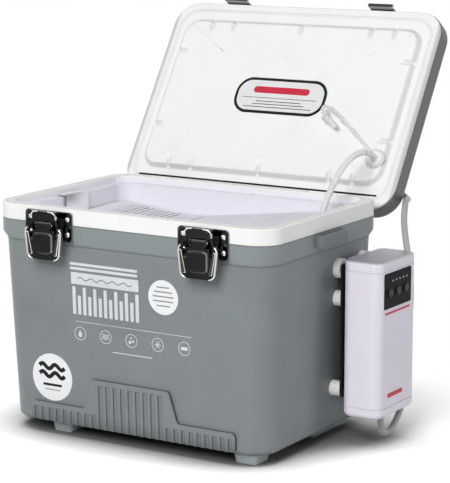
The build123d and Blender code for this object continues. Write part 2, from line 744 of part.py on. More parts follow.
for side, x in latch_sides.items():
    with BuildPart() as latch_plate:
        with BuildSketch(front_plane()):
            with Locations((x, plate_z)):
                RectangleRounded(plate_width, plate_height, plate_corner)
                with GridLocations(rivet_spread_x, rivet_spread_z, 2, 2):
                    Circle(rivet_hole, mode=Mode.SUBTRACT)
        extrude(amount=plate_sheet)
        for start in (x - ear_outer, x + ear_inner):
            with BuildSketch(Plane.YZ.offset(start)):
                with Locations((lever_y, lever_z)):
                    Circle(latch_ear_reach)
                with Locations((lever_y + lever_pivot_out / 2, lever_z)):
                    Rectangle(lever_pivot_out, 2 * latch_ear_reach)
                with Locations((lever_y, lever_z)):
                    Circle(lever_pin_radius + pin_clearance, mode=Mode.SUBTRACT)
            extrude(amount=latch_ear)
    save(latch_plate, f"latch_plate_{side}")

    with BuildPart() as latch_lever:
        extrude(lever_outline(x, lever_out - lever_sheet, 0), amount=lever_sheet)
        extrude(lever_outline(x, lever_out - lever_sheet, 0), amount=-lever_flange)
        inner = lever_outline(x, lever_out - lever_sheet, lever_sheet)
        extrude(inner, amount=-lever_flange, mode=Mode.SUBTRACT)
        with BuildSketch(front_plane(lever_out - lever_sheet)):
            with Locations((x, lever_top)):
                Rectangle(claw_width + 2 * ear_gap, 2 * lever_corner)
        extrude(amount=-lever_flange, mode=Mode.SUBTRACT)
        with BuildSketch(front_plane(lever_out)):
            for sign in (-1, 1):
                with Locations((x + sign * (lever_barrel_length / 2 + cut_outer) / 2, ear_notch)):
                    Rectangle(cut_outer - lever_barrel_length / 2, lever_z - ear_notch, align=from_below)
                with Locations((x + sign * (cut_inner + cut_outer) / 2, claw_slot)):
                    Rectangle(cut_outer - cut_inner, lever_z - claw_slot, align=from_below)
        extrude(amount=-lever_flange - lever_sheet, mode=Mode.SUBTRACT)
        with BuildSketch(front_plane(lever_out)):
            with Locations((x, (lever_top + lever_foot) / 2)):
                RectangleRounded(lever_boss_width, lever_length - 2 * lever_corner, lever_corner / 2)
        extrude(amount=lever_boss_height, taper=35)
        with BuildSketch(front_plane(lever_out - lever_sheet)):
            with Locations((x, (lever_top + lever_z) / 2)):
                Rectangle(lever_barrel_length, lever_z - lever_top)
        extrude(amount=lever_sheet)
        with BuildSketch(Plane.YZ.offset(x - lever_barrel_length / 2)):
            with Locations((lever_y, lever_z)):
                Circle(lever_barrel)
        extrude(amount=lever_barrel_length)
        with BuildSketch(Plane.YZ.offset(x - lever_barrel_length / 2)):
            with Locations((lever_y, lever_z)):
                Circle(lever_pin_radius + pin_clearance)
        extrude(amount=lever_barrel_length, mode=Mode.SUBTRACT)
        lug_reach = lever_out - lever_sheet - claw_pin_out
        for start in (x - claw_width / 2 - ear_gap - lever_lug, x + claw_width / 2 + ear_gap):
            with BuildSketch(Plane.YZ.offset(start)):
                with Locations((claw_y, claw_z)):
                    Circle(lever_lug_radius)
                with Locations((claw_y - lug_reach / 2, claw_z)):
                    Rectangle(lug_reach, 2 * lever_lug_radius)
                with Locations((claw_y, claw_z)):
                    Circle(claw_pin_radius + pin_clearance, mode=Mode.SUBTRACT)
            extrude(amount=lever_lug)
    save(latch_lever, f"latch_lever_{side}")

    with BuildPart() as latch_claw:
        with BuildSketch(claw_plane(x + claw_width / 2)):
            with BuildLine():
                FilletPolyline(
                    (0, 0),
                    (claw_front_out - claw_pin_out, claw_bend_z - claw_z),
                    (claw_front_out - claw_pin_out, claw_crest - claw_sheet / 2 - claw_z),
                    (claw_tip_out - claw_pin_out, claw_crest - claw_sheet / 2 - claw_z),
                    (claw_tip_out - claw_pin_out, claw_tip_z - claw_z),
                    radius=claw_bends,
                )
            trace(line_width=claw_sheet)
            Circle(claw_eye)
            Circle(claw_pin_radius + pin_clearance, mode=Mode.SUBTRACT)
        extrude(amount=claw_width)
        with BuildSketch(claw_plane(x + claw_window / 2)):
            with Locations((0, (claw_bend_z - claw_z) / 2 - claw_eye / 2)):
                Rectangle(4 * claw_pin_out, claw_bend_z - claw_z + claw_eye)
        extrude(amount=claw_window, mode=Mode.SUBTRACT)
    save(latch_claw, f"latch_claw_{side}")

    with BuildPart() as claw_pin:
        pin_half = claw_width / 2 + ear_gap + lever_lug
        with BuildSketch(Plane.YZ.offset(x - pin_half)):
            with Locations((claw_y, claw_z)):
                Circle(claw_pin_radius)
        extrude(amount=2 * pin_half)
    save(claw_pin, f"claw_pin_{side}")

    with BuildPart() as lid_keeper:
        with BuildSketch(keeper_plane(x + keeper_width / 2)):
            with BuildLine():
                Polyline(
                    (keeper_sheet / 2, keeper_height),
                    (keeper_sheet / 2, -keeper_drop + keeper_sheet / 2),
                    (keeper_hook - keeper_sheet / 2, -keeper_drop + keeper_sheet / 2),
                    (keeper_hook - keeper_sheet / 2, -keeper_drop + keeper_lip),
                )
            trace(line_width=keeper_sheet)
        extrude(amount=keeper_width)
    save(lid_keeper, f"lid_keeper_{side}")

with BuildPart() as lever_pins:
    for x in latch_sides.values():
        with BuildSketch(Plane.YZ.offset(x - ear_outer - ear_gap)):
            with Locations((lever_y, lever_z)):
                Circle(lever_pin_radius)
        extrude(amount=2 * (ear_outer + ear_gap))
save(lever_pins, "lever_pins")

with BuildPart() as latch_rivets:
    for x in latch_sides.values():
        with BuildSketch(front_plane(0)):
            with Locations((x, plate_z)):
                with GridLocations(rivet_spread_x, rivet_spread_z, 2, 2):
                    Circle(rivet_shank)
        extrude(amount=plate_sheet)
        with BuildSketch(front_plane(plate_sheet)):
            with Locations((x, plate_z)):
                with GridLocations(rivet_spread_x, rivet_spread_z, 2, 2):
                    Circle(rivet_head)
        extrude(amount=rivet_dome, taper=30)
save(latch_rivets, "latch_rivets")

# ---- Bait tray: a slotted sheet that hooks over the ledge at both ends ----
tray_reach = tub_width / 2 - tray_end_gap  # end of the sheet from the middle
tray_left_z = ledge_z - tray_left_drop
tray_valley_z = ledge_z - tray_valley_drop
tray_right_z = ledge_z - tray_right_drop
tray_line = (
    (-tray_reach, tray_left_z),
    (tray_valley_x, tray_valley_z),
    (tray_reach, tray_right_z),
)
with BuildPart() as bait_tray:
    with BuildSketch(Plane.XZ.offset(-tub_depth / 2)):
        with BuildLine():
            FilletPolyline(*tray_line, radius=tray_bend)
        trace(line_width=tray_sheet)
    extrude(amount=tub_depth)
    trim = tub_layer(tray_valley_z, -tray_clearance)
    extrude(trim, amount=ledge_z - tray_valley_z, both=True, mode=Mode.INTERSECT)
    slots = int(2 * (tray_reach - tray_end_margin) / tray_pitch)
    with BuildSketch(Plane.XY.offset(ledge_z)):
        with GridLocations(tray_pitch, 0, slots, 1):
            Rectangle(tray_slot, tub_depth - 2 * tray_slot_margin)
        with Locations((tub_width / 2 - tray_notch_length, tub_depth / 2 - tray_notch_depth)):
            Rectangle(tub_width, tub_depth, align=(Align.MIN, Align.MIN))
    extrude(amount=tray_valley_z - tray_sheet - ledge_z, mode=Mode.SUBTRACT)
    for side, end_z in ((-1, tray_left_z), (1, tray_right_z)):
        tab_top = ledge_z + tray_sheet / 2
        with BuildSketch(Plane.XZ.offset(-tab_width / 2)):
            with BuildLine():
                Polyline(
                    (side * (tub_width / 2 + tab_hook), tab_top),
                    (side * (tray_reach - tray_sheet / 2), tab_top),
                    (side * (tray_reach - tray_sheet / 2), end_z),
                )
            trace(line_width=tray_sheet)
        extrude(amount=tab_width)
save(bait_tray, "bait_tray")

# ---- Air pump: housing, caps, control panel and what is inside ----
seam_low = pump_bottom + cap_height
seam_high = pump_top - cap_height
neck_low = seam_low + seam_height
neck_high = seam_high - seam_height
inner_front = pump_front - pump_wall
panel_y = pump_y + panel_offset
panel_z = pump_top - panel_drop
button_z = pump_top - button_drop
light_y = pump_y + light_offset
light_z = pump_top - light_drop


def pump_block(low, high, inset):
    """A length of the pump's rounded column, moved inwards all round by an inset."""
    with BuildPart() as block:
        with BuildSketch(Plane.XY.offset(low)):
            with Locations((pump_back + pump_thickness / 2, pump_y)):
                RectangleRounded(pump_thickness - 2 * inset, pump_width - 2 * inset, pump_corner - inset)
        extrude(amount=high - low)
    return block.part


with BuildPart() as pump_housing:
    add(pump_block(seam_low, seam_high, seam_depth))
    add(pump_block(neck_low, neck_high, 0))
    add(pump_block(seam_low, seam_high, pump_wall), mode=Mode.SUBTRACT)
    with BuildSketch(wall_plane(pump_front)):
        with Locations((panel_y, panel_z)):
            RectangleRounded(panel_width, panel_height, panel_corner)
    extrude(amount=-panel_recess, mode=Mode.SUBTRACT)
    with BuildSketch(wall_plane(pump_front)):
        with Locations((panel_y, button_z)):
            with GridLocations(button_spacing, 0, 3, 1):
                Circle(button_radius + button_clearance)
        with Locations((light_y, light_z)):
            with GridLocations(light_spacing, 0, light_count, 1):
                Circle(light_radius + pin_clearance)
    extrude(amount=-pump_wall, mode=Mode.SUBTRACT)
save(pump_housing, "pump_housing")

with BuildPart() as pump_cap_top:
    add(pump_block(seam_high, pump_top, 0))
    fillet(pump_cap_top.edges().group_by(Axis.Z)[-1], cap_top_edge)
    add(pump_block(seam_high, pump_top - cap_wall, cap_wall), mode=Mode.SUBTRACT)
save(pump_cap_top, "pump_cap_top")

with BuildPart() as pump_cap_bottom:
    add(pump_block(pump_bottom, seam_low, 0))
    fillet(pump_cap_bottom.edges().group_by(Axis.Z)[0], cap_foot_edge)
    add(pump_block(pump_bottom + cap_wall, seam_low, cap_wall), mode=Mode.SUBTRACT)
    with BuildSketch(Plane.XY.offset(pump_bottom)):
        with Locations((nipple_x, nipple_y)):
            Circle(nipple_radius)
    extrude(amount=-nipple_length)
save(pump_cap_bottom, "pump_cap_bottom")

with BuildPart() as pump_panel:
    with BuildSketch(wall_plane(pump_front - panel_recess)):
        with Locations((panel_y, panel_z)):
            gap = 2 * button_clearance
            RectangleRounded(panel_width - gap, panel_height - gap, panel_corner - button_clearance)
        with Locations((panel_y, button_z)):
            with GridLocations(button_spacing, 0, 3, 1):
                Circle(button_radius + button_clearance, mode=Mode.SUBTRACT)
        with Locations((light_y, light_z)):
            with GridLocations(light_spacing, 0, light_count, 1):
                Circle(light_radius + pin_clearance, mode=Mode.SUBTRACT)
    extrude(amount=panel_sheet)
save(pump_panel, "pump_panel")

panel_front = pump_front - panel_recess + panel_sheet
for name, y in (("low", -1), ("steady", 0), ("pulse", 1)):
    with BuildPart() as pump_button:
        with BuildSketch(wall_plane(inner_front - button_clearance - button_rim_sheet)):
            with Locations((panel_y + y * button_spacing, button_z)):
                Circle(button_radius + button_rim)
        extrude(amount=button_rim_sheet)
        with BuildSketch(wall_plane(inner_front - button_clearance)):
            with Locations((panel_y + y * button_spacing, button_z)):
                Circle(button_radius)
        extrude(amount=panel_front + button_proud - inner_front + button_clearance)
        fillet(pump_button.edges().group_by(Axis.X)[-1], button_edge)
    save(pump_button, f"button_{name}")

with BuildPart() as pump_lights:
    with BuildSketch(wall_plane(inner_front)):
        with Locations((light_y, light_z)):
            with GridLocations(light_spacing, 0, light_count, 1):
                Circle(light_radius)
    extrude(amount=panel_front + light_proud - inner_front)
save(pump_lights, "pump_lights")

with BuildPart() as pump_board:
    with BuildSketch(wall_plane(inner_front - board_depth - board_sheet)):
        with Locations((pump_y, pump_top - board_drop - board_height / 2)):
            Rectangle(board_width, board_height)
    extrude(amount=board_sheet)
save(pump_board, "pump_board")

with BuildPart() as pump_battery:
    with BuildSketch(Plane.XY.offset(pump_bottom + battery_rise)):
        with Locations((pump_back + pump_wall + inside_gap + battery_radius, pump_y + battery_offset)):
            Circle(battery_radius)
    extrude(amount=battery_length)
save(pump_battery, "pump_battery")

with BuildPart() as pump_motor:
    with BuildSketch(Plane.XY.offset(pump_bottom + motor_rise)):
        with Locations((pump_back + pump_wall + inside_gap + motor_radius, pump_y + motor_offset)):
            Circle(motor_radius)
    extrude(amount=motor_length)
save(pump_motor, "pump_motor")

# ---- Hanger on the box wall and the clip that drops over it ----
with BuildPart() as pump_hanger:
    with BuildSketch(wall_plane(hanger_out)):
        with Locations((pump_y, (hanger_bottom + hanger_top) / 2)):
            RectangleRounded(hanger_width, hanger_top - hanger_bottom, hanger_corner)
    extrude(amount=hanger_sheet)
save(pump_hanger, "pump_hanger")

bumper_heights = (hanger_top - bumper_drops[0], hanger_top - bumper_drops[1], hanger_bottom + bumper_rise)
with BuildPart() as hanger_bumpers:
    for height, radius in zip(bumper_heights, bumper_radii):
        wall_x = rim_width / 2 - body_inset(height)
        with BuildSketch(wall_plane(hanger_out)):
            with Locations((bumper_y, height)):
                with GridLocations(bumper_spread, 0, 2, 1):
                    Circle(radius)
        extrude(amount=wall_x - shell_wall / 2 - hanger_out)
    add(outer_shell.part, mode=Mode.SUBTRACT)
save(hanger_bumpers, "hanger_bumpers")

clip_face = hanger_out + hanger_sheet + clip_gap
lip_face = hanger_out - clip_gap
upper_high = hanger_top + clip_upper_rise
upper_low = upper_high - clip_upper_height
lower_low = hanger_bottom - clip_lower_drop
lower_high = lower_low + clip_lower_height
clip_pads = (
    (upper_low, upper_high, clip_width),
    (lower_low, lower_high, clip_width),
    (lower_high - clip_overlap, upper_low + clip_overlap, spine_width),
)  # bottom, top and width
with BuildPart() as pump_clip:
    for low, high, width in clip_pads:
        with BuildSketch(wall_plane(pump_back)):
            with Locations((pump_y, (low + high) / 2)):
                RectangleRounded(width, high - low, clip_corner)
        extrude(amount=-clip_pad)
    with BuildSketch(Plane.XZ.offset(-bumper_y - lip_width / 2)):
        with BuildLine():
            Polyline(
                (pump_back - clip_pad, upper_low),
                (pump_back - clip_pad, hanger_top + bridge_sheet),
                (lip_face - clip_lip, hanger_top + bridge_sheet),
                (lip_face - clip_lip, upper_low),
                (lip_face, upper_low),
                (lip_face, hanger_top),
                (clip_face, hanger_top),
                (clip_face, upper_low),
                close=True,
            )
        make_face()
    extrude(amount=lip_width)
    fillet(pump_clip.edges().filter_by(Axis.Y).sort_by(Axis.X)[:1], clip_edge)
save(pump_clip, "pump_clip")

# ---- Air stone in the tub, and the hoses that feed it ----
with BuildPart() as air_stone:
    with BuildSketch(Plane.XY.offset(tub_floor + stone_gap)):
        with Locations((stone_x, stone_y)):
            Circle(stone_radius)
    extrude(amount=stone_length)
    fillet(air_stone.edges().sort_by(Axis.Z), stone_edge)
    with BuildSketch(Plane.XY.offset(tub_floor + stone_gap + stone_length)):
        with Locations((stone_x, stone_y)):
            Circle(stone_neck)
    extrude(amount=stone_neck_length)
save(air_stone, "air_stone")


def on_grommet(height):
    """A point on the grommet's axis, this far above the rim of the shut lid."""
    return lid_plane(0).from_local_coords((grommet_x, grommet_y, height))


outer_points = (
    (nipple_x, nipple_y, pump_bottom - nipple_length),
    (nipple_x, nipple_y, pump_bottom - nipple_length - 10.5),
    (189.0, 49.5, -4.6),
    (189.0, 62.0, -5.4),
    (189.3, 75.5, 1.5),
    (189.6, 87.5, 14.5),
    (190.8, 92.5, 33.0),
    (192.2, 93.0, 60.0),
    (193.8, 93.0, 95.0),
    (194.8, 93.5, 130.0),
    (191.8, 96.0, 150.0),
    (186.0, 100.5, 168.0),
    (179.3, 108.0, 184.0),
    (173.8, 117.0, 196.0),
    (169.6, 127.5, 204.5),
    (163.5, 141.0, 207.5),
    (158.5, 156.0, 205.5),
    (149.5, 170.5, 204.0),
    (137.5, 179.5, 208.0),
    on_grommet(lid_top + grommet_lip + 13.0),
    on_grommet(lid_top + grommet_lip),
)
save(cord(outer_points, hose_radius, "hose_outer"), "hose_outer")
inner_points = (
    on_grommet(plug_face - grommet_lip),
    on_grommet(plug_face - grommet_lip - 12.0),
    (128.6, 110.0, 256.5),
    (126.4, 93.0, 252.0),
    (123.0, 77.0, 240.0),
    (120.3, 65.0, 223.0),
    (118.5, 55.0, 206.0),
    (117.4, 48.0, 186.0),
    (116.8, 44.0, 162.0),
    (116.4, 42.2, 130.0),
    (116.0, 42.6, 98.0),
    (stone_x, stone_y, tub_floor + stone_gap + stone_length + stone_neck_length + 17.0),
    (stone_x, stone_y, tub_floor + stone_gap + stone_length + stone_neck_length),
)
save(cord(inner_points, hose_radius, "hose_inner"), "hose_inner")
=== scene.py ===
"""Live-bait cooler with a clip-on air pump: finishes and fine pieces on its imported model.

Sizes in the functions are millimetres; MM turns them into Blender's metres. The frame is the
model's own: origin under the middle of the box, +X to the pump, front towards -Y, +Z up.
"""
import math
import bpy
import numpy as np
from bpy.props import FloatProperty, FloatVectorProperty, IntProperty, PointerProperty
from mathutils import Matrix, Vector


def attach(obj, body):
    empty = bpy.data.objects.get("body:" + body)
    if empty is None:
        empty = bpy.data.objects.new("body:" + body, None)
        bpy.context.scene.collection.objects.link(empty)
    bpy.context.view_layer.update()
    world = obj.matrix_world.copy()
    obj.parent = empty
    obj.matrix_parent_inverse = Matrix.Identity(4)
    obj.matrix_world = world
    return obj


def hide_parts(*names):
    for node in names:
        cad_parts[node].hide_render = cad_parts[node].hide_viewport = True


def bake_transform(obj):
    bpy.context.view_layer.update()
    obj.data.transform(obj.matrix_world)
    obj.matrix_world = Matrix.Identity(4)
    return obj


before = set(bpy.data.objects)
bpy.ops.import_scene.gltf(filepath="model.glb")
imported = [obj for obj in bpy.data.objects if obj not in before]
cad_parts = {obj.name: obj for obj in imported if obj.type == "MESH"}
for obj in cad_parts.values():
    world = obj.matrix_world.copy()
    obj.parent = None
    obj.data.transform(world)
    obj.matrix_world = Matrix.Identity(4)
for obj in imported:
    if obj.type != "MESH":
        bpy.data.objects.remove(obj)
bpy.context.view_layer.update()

bl_info = {
    "name": "Live-Bait Cooler Finisher",
    "version": (1, 0, 0),
    "blender": (4, 5, 0),
    "location": "View3D > Sidebar > Cooler",
    "description": "Finishes and fine pieces for a live-bait cooler with a clip-on air pump",
    "category": "Object",
}

MM = 0.001
RIM_FRONT = -108.5
RIM_TOP = 214.0
SKIRT_BOTTOM = 178.7
SKIRT_STEP = 3.2
BODY_TAPER = 6.4
HINGE = (107.5, 206.3)
LID_ANGLE = math.radians(122.85)
PUMP_FRONT = 205.0
PANEL_Y = 44.75
GROMMET = (130.4, 57.3)
LATCH_X = {"left": -86.5, "right": 86.5}
BAND_FOOT = 198.7
WELD_GAP = 1e-5
FLAT_ANGLE = math.radians(0.4)
EDGE_ANGLE = math.radians(38)


# ---- Places: flat drawings carried onto the object, as whole arrays ----
def on_lid(p):
    """(x, y, h) of the shut lid, h above the rim, turned about the hinge line to the open lid."""
    p = np.asarray(p, float)
    back, up = p[..., 1] - HINGE[0], RIM_TOP + p[..., 2] - HINGE[1]
    c, s = math.cos(-LID_ANGLE), math.sin(-LID_ANGLE)
    return np.stack([p[..., 0], HINGE[0] + back * c - up * s, HINGE[1] + back * s + up * c], -1)


def on_wall(p):
    """(x, z, out) on the front wall: y = rim front + skirt step + taper * depth below the skirt."""
    p = np.asarray(p, float)
    lean = BODY_TAPER / SKIRT_BOTTOM
    y = RIM_FRONT + SKIRT_STEP + lean * (SKIRT_BOTTOM - p[..., 1]) - p[..., 2]
    return np.stack([p[..., 0], y, p[..., 1] - lean * p[..., 2]], -1)


def on_rim(p):
    """(x, y, h) above the rim's top."""
    return np.asarray(p, float) + (0, 0, RIM_TOP)


def on_latch(p):
    """(x, z, out) straight in front of the rim's face."""
    p = np.asarray(p, float)
    return np.stack([p[..., 0], RIM_FRONT - p[..., 2], p[..., 1]], -1)


def on_pump(p):
    """(y, z, out) on the pump's broad face."""
    p = np.asarray(p, float)
    return np.stack([PUMP_FRONT + p[..., 2], p[..., 0], p[..., 1]], -1)


# ---- Outlines and profiles ----
def rounded(width, depth, radius, arc=8, straight=1, centre=(0.0, 0.0)):
    """A rounded rectangle, anticlockwise: four quarter circles joined by straight runs cut in equal steps."""
    corner = np.array([[1, 1], [-1, 1], [-1, -1], [1, -1]]) * (width / 2 - radius, depth / 2 - radius)
    turn = np.linspace(0, math.pi / 2, arc + 1) + np.arange(4)[:, None] * math.pi / 2
    arcs = corner[:, None] + radius * np.stack([np.cos(turn), np.sin(turn)], -1)
    share = np.linspace(0, 1, straight + 1)[1:-1, None]
    runs = arcs[:, None, -1] * (1 - share) + np.roll(arcs, -1, 0)[:, None, 0] * share
    return np.concatenate([arcs, runs], 1).reshape(-1, 2) + centre


def circle(radius, count=48, centre=(0.0, 0.0)):
    """A circle, anticlockwise."""
    turn = np.linspace(0, 2 * math.pi, count, endpoint=False)
    return radius * np.stack([np.cos(turn), np.sin(turn)], -1) + centre


def corners(points, radii, arc=6):
    """A polygon with round corners: an arc of radius r starts r * tan(half turn) before its corner."""
    points = np.asarray(points, float)
    radii = np.broadcast_to(radii, len(points)).astype(float)[:, None]
    into = points - np.roll(points, 1, 0)
    out = np.roll(points, -1, 0) - points
    into /= np.linalg.norm(into, axis=1)[:, None]
    out /= np.linalg.norm(out, axis=1)[:, None]
    turn = np.arctan2(into[:, 0] * out[:, 1] - into[:, 1] * out[:, 0], (into * out).sum(1))[:, None]
    start = points - into * radii * np.abs(np.tan(turn / 2))
    side = np.sign(turn) * np.stack([-into[:, 1], into[:, 0]], -1)
    centre = start + side * radii
    spread = turn * np.linspace(0, 1, arc + 1)
    cos, sin = np.cos(spread)[..., None], np.sin(spread)[..., None]
    arm = (start - centre)[:, None]
    across = np.stack([-arm[..., 1], arm[..., 0]], -1)
    return (centre[:, None] + arm * cos + across * sin).reshape(-1, 2)


def normals_of(path, closed=True):
    """Unit normals to the right of a flat path, from central differences: outward for an anticlockwise outline."""
    if closed:
        along = np.roll(path, -1, 0) - np.roll(path, 1, 0)
    else:
        along = np.gradient(path, axis=0)
    along = along / np.linalg.norm(along, axis=1)[:, None]
    return np.stack([along[:, 1], -along[:, 0]], -1)


def smooth(x):
    """3x^2 - 2x^3 between 0 and 1."""
    x = np.clip(x, 0, 1)
    return x * x * (3 - 2 * x)


# ---- Surfaces: vertices and faces over grids ----
def grid(points, closed=(False, True), poles=(False, False)):
    """Quads over a (rows, columns, 3) grid, closed along rows or columns; a pole draws an end row into one point.

    The sum of a . (b x c) / 6 over a closed surface's triangles is its volume; its sign turns the faces outward.
    """
    points = np.asarray(points, float)
    rows, cols = points.shape[:2]
    index = np.arange(rows * cols).reshape(rows, cols)
    if poles[0]:
        index[0] = index[0, 0]
    if poles[1]:
        index[-1] = index[-1, 0]
    low, high = (index, np.roll(index, -1, 0)) if closed[0] else (index[:-1], index[1:])
    if closed[1]:
        quads = [low, np.roll(low, -1, 1), np.roll(high, -1, 1), high]
    else:
        quads = [low[:, :-1], low[:, 1:], high[:, 1:], high[:, :-1]]
    quads = np.stack(quads, -1).reshape(-1, 4)
    verts = points.reshape(-1, 3)
    whole = (closed[0] or all(poles)) and closed[1]
    if whole:
        corner = verts[quads]
        halves = np.concatenate([corner[:, [0, 1, 2]], corner[:, [0, 2, 3]]])
        if np.einsum("ij,ij->i", halves[:, 0], np.cross(halves[:, 1], halves[:, 2])).sum() < 0:
            quads = quads[:, ::-1]
    used, fresh = np.unique(quads, return_inverse=True)
    return verts[used], fresh.reshape(-1, 4)


def merged(parts):
    """Several grids as one list of vertices and faces; a pole's quads lose their doubled corner."""
    start = np.cumsum([0] + [len(v) for v, _ in parts])
    verts = np.concatenate([v for v, _ in parts])
    quads = np.concatenate([f + s for (_, f), s in zip(parts, start)])
    after = np.roll(quads, -1, 1)
    doubled = quads == after
    plain = quads[~doubled.any(1)].tolist()
    rest = quads[doubled.any(1) & (doubled.sum(1) == 1)]
    keep = ~(rest == np.roll(rest, -1, 1))
    return verts, plain + rest[keep].reshape(-1, 3).tolist()


def piece(name, parts, material, body, sharp=38.0, scale=MM):
    """An object from grids, at the origin, smooth but for edges sharper than an angle, riding on a body."""
    verts, faces = merged(parts)
    mesh = bpy.data.meshes.new(name)
    mesh.from_pydata((verts * scale).tolist(), [], faces)
    mesh.polygons.foreach_set("use_smooth", np.ones(len(mesh.polygons), bool))
    mesh.set_sharp_from_angle(angle=math.radians(sharp))
    mesh.materials.append(material)
    obj = bpy.data.objects.new(name, mesh)
    bpy.context.scene.collection.objects.link(obj)
    if body:
        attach(obj, body)
    return obj


def capped(rows, place, count):
    """Rows of (flat points, height) between two poles; a pole's lone point stands for the whole row."""
    points = [place(np.column_stack([np.broadcast_to(xy, (count, 2)), np.full(count, h)])) for xy, h in rows]
    return grid(np.stack(points), poles=(True, True))


def slab(outline, place, low, high, edge=0.0):
    """A flat plate over a star-shaped outline: centre, top drawn in by a chamfer, rim, underside, centre."""
    middle = outline.mean(0)
    inner = outline - normals_of(outline) * edge
    rows = [(middle, high), (inner, high), (outline, high - edge), (outline, low), (middle, low)]
    return capped(rows, place, len(outline))


def dome(outline, place, low, foot, rise, run):
    """A plate with round shoulders: height = foot + rise * sqrt(1 - (1 - d / run)^2) at d inside its outline."""
    middle, out = outline.mean(0), normals_of(outline)
    steps = run * (1 - np.cos(np.linspace(0, math.pi / 2, 6)))
    rows = [(outline - out * d, foot + rise * math.sqrt(1 - (1 - d / run) ** 2)) for d in steps]
    return capped([(middle, low), *rows, (middle, foot + rise)], place, len(outline))


def rail(path, profile, place, closed=True):
    """A profile (out, up) carried along a flat path: point = path + out * its right-hand normal, raised by up."""
    side = normals_of(path, closed)
    rows = [place(np.column_stack([path + side * u, np.full(len(path), v)])) for u, v in profile]
    points = np.stack(rows, 1)
    if closed:
        return grid(points, closed=(True, True))
    ends = [np.broadcast_to(points[i].mean(0), points[i].shape) for i in (0, -1)]
    return grid(np.concatenate([ends[:1], points, ends[1:]]), poles=(True, True))


def ribbon(path, width, place, low, high, closed=False):
    """A rail with a flat section, width wide, between two heights."""
    half = width / 2
    return rail(path, [(-half, low), (half, low), (half, high), (-half, high)], place, closed)


def revolve(profile, centre, axis, count=40):
    """A profile (radius, height) turned about an axis: centre + height * axis + radius * (cos a u + sin a v)."""
    axis = np.asarray(axis, float) / np.linalg.norm(axis)
    u = np.cross(axis, [1, 0, 0] if abs(axis[0]) < 0.9 else [0, 1, 0])
    u /= np.linalg.norm(u)
    v = np.cross(axis, u)
    a = np.linspace(0, 2 * math.pi, count, endpoint=False)
    ring = np.cos(a)[:, None] * u + np.sin(a)[:, None] * v
    profile = np.asarray(profile, float)
    points = np.asarray(centre, float) + profile[:, 1, None, None] * axis + profile[:, 0, None, None] * ring
    tips = tuple(bool(r < 1e-9) for r in (profile[0, 0], profile[-1, 0]))
    return grid(points, closed=(not all(tips), True), poles=tips)


def tube(path, radius, count=20):
    """A round tube along a line, ends closed: point + radius * (cos a u + sin a v), u = line x X, v = line x u."""
    along = np.gradient(path, axis=0)
    along /= np.linalg.norm(along, axis=1)[:, None]
    u = np.cross(along, [1.0, 0.0, 0.0])
    u /= np.linalg.norm(u, axis=1)[:, None]
    v = np.cross(along, u)
    a = np.linspace(0, 2 * math.pi, count, endpoint=False)
    radius = np.broadcast_to(radius, len(path))[:, None, None]
    rings = path[:, None] + radius * (np.cos(a)[:, None] * u[:, None] + np.sin(a)[:, None] * v[:, None])
    ends = [np.broadcast_to(path[i], rings[i].shape) for i in (0, -1)]
    return grid(np.concatenate([ends[:1], rings, ends[1:]]), poles=(True, True))


def line_of(name, route):
    """The smooth line of a cord: the NURBS spline that has the route's points as its control points, in metres."""
    curve = bpy.data.curves.new(name, "CURVE")
    curve.dimensions = "3D"
    curve.resolution_u = 16
    spline = curve.splines.new("NURBS")
    spline.points.add(len(route) - 1)
    spline.points.foreach_set("co", np.column_stack([np.asarray(route) * MM, np.ones(len(route))]).ravel())
    spline.order_u = 3
    spline.use_endpoint_u = True
    obj = bpy.data.objects.new(name, curve)
    bpy.context.scene.collection.objects.link(obj)
    bpy.context.view_layer.update()
    mesh = bpy.data.meshes.new_from_object(obj)
    points = np.empty(len(mesh.vertices) * 3)
    mesh.vertices.foreach_get("co", points)
    bpy.data.objects.remove(obj)
    bpy.data.meshes.remove(mesh)
    return points.reshape(-1, 3)


# ---- Nodes ----
def node(tree, kind, **values):
    """A shader node with its settings and the constants of its named or numbered inputs."""
    made = tree.nodes.new(kind)
    for key, value in values.items():
        if key.startswith("in_"):
            label = key[3:].replace("_", " ")
            made.inputs[int(label) if label.isdigit() else label].default_value = value
        else:
            setattr(made, key, value)
    return made


def fed(tree, made, at, value):
    """Feeds one input of a node from a socket or with a constant."""
    if isinstance(value, bpy.types.NodeSocket):
        tree.links.new(value, made.inputs[at])
    else:
        made.inputs[at].default_value = value


def combined(tree, operation, first, second=0.0):
    """A math node over two sockets or constants."""
    made = node(tree, "ShaderNodeMath", operation=operation)
    fed(tree, made, 0, first)
    fed(tree, made, 1, second)
    return made.outputs[0]


def ranged(tree, value, low, high, to_low, to_high):
    """A clamped linear map of a value."""
    made = node(tree, "ShaderNodeMapRange", in_1=low, in_2=high, in_3=to_low, in_4=to_high)
    tree.links.new(value, made.inputs[0])
    return made.outputs[0]


def mixed(tree, factor, first, second):
    """Two colours mixed; each input is a socket or a constant."""
    made = node(tree, "ShaderNodeMix", data_type="RGBA")
    fed(tree, made, 0, factor)
    for at, value in ((6, first), (7, second)):
        fed(tree, made, at, value if isinstance(value, bpy.types.NodeSocket) else (*value[:3], 1.0))
    return made.outputs[2]


def mixed_shaders(tree, factor, first, second):
    """Two shaders mixed by a factor."""
    made = tree.nodes.new("ShaderNodeMixShader")
    for at, value in enumerate((factor, first, second)):
        tree.links.new(value, made.inputs[at])
    return made.outputs[0]


def parted(tree, place):
    """The x, y and z of a place, as sockets."""
    split = tree.nodes.new("ShaderNodeSeparateXYZ")
    tree.links.new(place, split.inputs[0])
    return tuple(split.outputs)


def shade(colour, share):
    """A colour times a share, no channel above 1."""
    return tuple(min(1.0, c * share) for c in colour)


